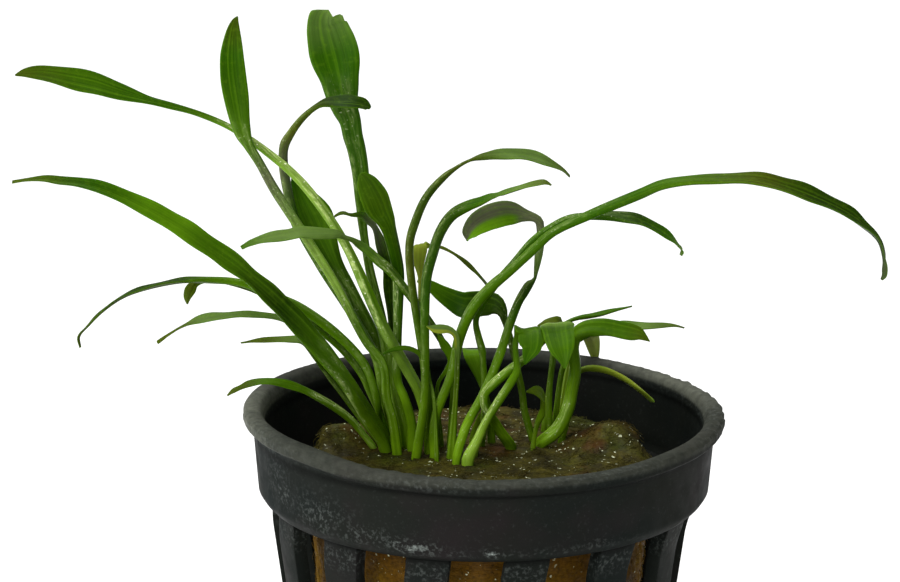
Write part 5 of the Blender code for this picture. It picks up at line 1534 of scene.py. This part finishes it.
class CRYPTOCORYNE_OT_stage(bpy.types.Operator):
    """Lay the pale floor, set the soft lights and place the camera"""
    bl_idname = "cryptocoryne.stage"
    bl_label = "Set the stage"

    def execute(self, context):
        settings = context.scene.cryptocoryne_stage
        bm = bmesh.new()
        bmesh.ops.create_circle(bm, cap_ends=True, segments=96, radius=settings.floor_radius)
        mesh = bpy.data.meshes.new("floor")
        bm.to_mesh(mesh)
        bm.free()
        mesh.materials.append(floor_material(tuple(settings.floor_colour)))
        floor = bpy.data.objects.new("floor", mesh)
        context.scene.collection.objects.link(floor)

        world = bpy.data.worlds.new("even surround")
        world.use_nodes = True
        background = world.node_tree.nodes["Background"]
        background.inputs["Color"].default_value = (1.0, 1.0, 1.0, 1.0)
        background.inputs["Strength"].default_value = settings.sky
        context.scene.world = world

        overhead = bpy.data.lights.new("overhead", "SUN")
        overhead.energy = settings.overhead
        overhead.angle = math.radians(50.0)
        thing = bpy.data.objects.new("overhead", overhead)
        thing.rotation_euler = (math.radians(-12.0), math.radians(-10.0), 0.0)
        context.scene.collection.objects.link(thing)

        soft_lights = (("front", settings.front, FRONT_PLACE), ("side", settings.side, SIDE_PLACE))
        for name, power, place in soft_lights:
            soft = bpy.data.lights.new(name, "AREA")
            soft.energy = power
            soft.size = SOFT_LIGHT_SIZE
            thing = bpy.data.objects.new(name, soft)
            thing.location = place
            aim = Vector((0.0, 0.0, 0.055)) - thing.location
            thing.rotation_euler = aim.to_track_quat("-Z", "Y").to_euler()
            context.scene.collection.objects.link(thing)

        lens = bpy.data.cameras.new("camera")
        lens.lens = settings.lens
        lens.sensor_width = 36.0
        lens.sensor_fit = "HORIZONTAL"
        lens.clip_start = 0.01
        lens.clip_end = 50.0
        camera = bpy.data.objects.new("camera", lens)
        camera.location = Vector(CAMERA_PLACE) * MM
        camera.rotation_euler = (math.radians(CAMERA_TILT), 0.0, 0.0)
        context.scene.collection.objects.link(camera)
        context.scene.camera = camera
        context.scene.view_settings.view_transform = "Standard"
        return {"FINISHED"}


class CRYPTOCORYNE_PT_panel(bpy.types.Panel):
    """Sizes, colours and steps of the potted cryptocoryne"""
    bl_idname = "CRYPTOCORYNE_PT_panel"
    bl_label = "Potted cryptocoryne"
    bl_space_type = "VIEW_3D"
    bl_region_type = "UI"
    bl_category = "Cryptocoryne"

    def draw(self, context):
        layout = self.layout
        for group, steps in PANEL_ROWS:
            box = layout.box()
            settings = getattr(context.scene, group)
            for name in settings.__class__.__annotations__:
                box.prop(settings, name)
            for step in steps:
                box.operator(step)


PANEL_ROWS = (
    ("cryptocoryne_pot", ("cryptocoryne.net_pot",)),
    ("cryptocoryne_wool", ("cryptocoryne.rock_wool", "cryptocoryne.fibres", "cryptocoryne.crowns")),
    ("cryptocoryne_leaves", ("cryptocoryne.leaves",)),
    ("cryptocoryne_stage", ("cryptocoryne.stage",)),
)

GROUPS = {
    "cryptocoryne_pot": PotSettings,
    "cryptocoryne_wool": WoolSettings,
    "cryptocoryne_leaves": LeafSettings,
    "cryptocoryne_stage": StageSettings,
}

CLASSES = (
    PotSettings,
    WoolSettings,
    LeafSettings,
    StageSettings,
    CRYPTOCORYNE_OT_net_pot,
    CRYPTOCORYNE_OT_rock_wool,
    CRYPTOCORYNE_OT_fibres,
    CRYPTOCORYNE_OT_crowns,
    CRYPTOCORYNE_OT_leaves,
    CRYPTOCORYNE_OT_stage,
    CRYPTOCORYNE_PT_panel,
)


def register():
    for each in CLASSES:
        bpy.utils.register_class(each)
    for name, group in GROUPS.items():
        setattr(bpy.types.Scene, name, PointerProperty(type=group))


def unregister():
    for name in GROUPS:
        delattr(bpy.types.Scene, name)
    for each in reversed(CLASSES):
        bpy.utils.unregister_class(each)


def main():
    register()
    bpy.ops.cryptocoryne.stage()
    bpy.ops.cryptocoryne.net_pot()
    bpy.ops.cryptocoryne.rock_wool()
    bpy.ops.cryptocoryne.fibres()
    bpy.ops.cryptocoryne.crowns()
    bpy.ops.cryptocoryne.leaves()


if __name__ == "__main__":
    main()
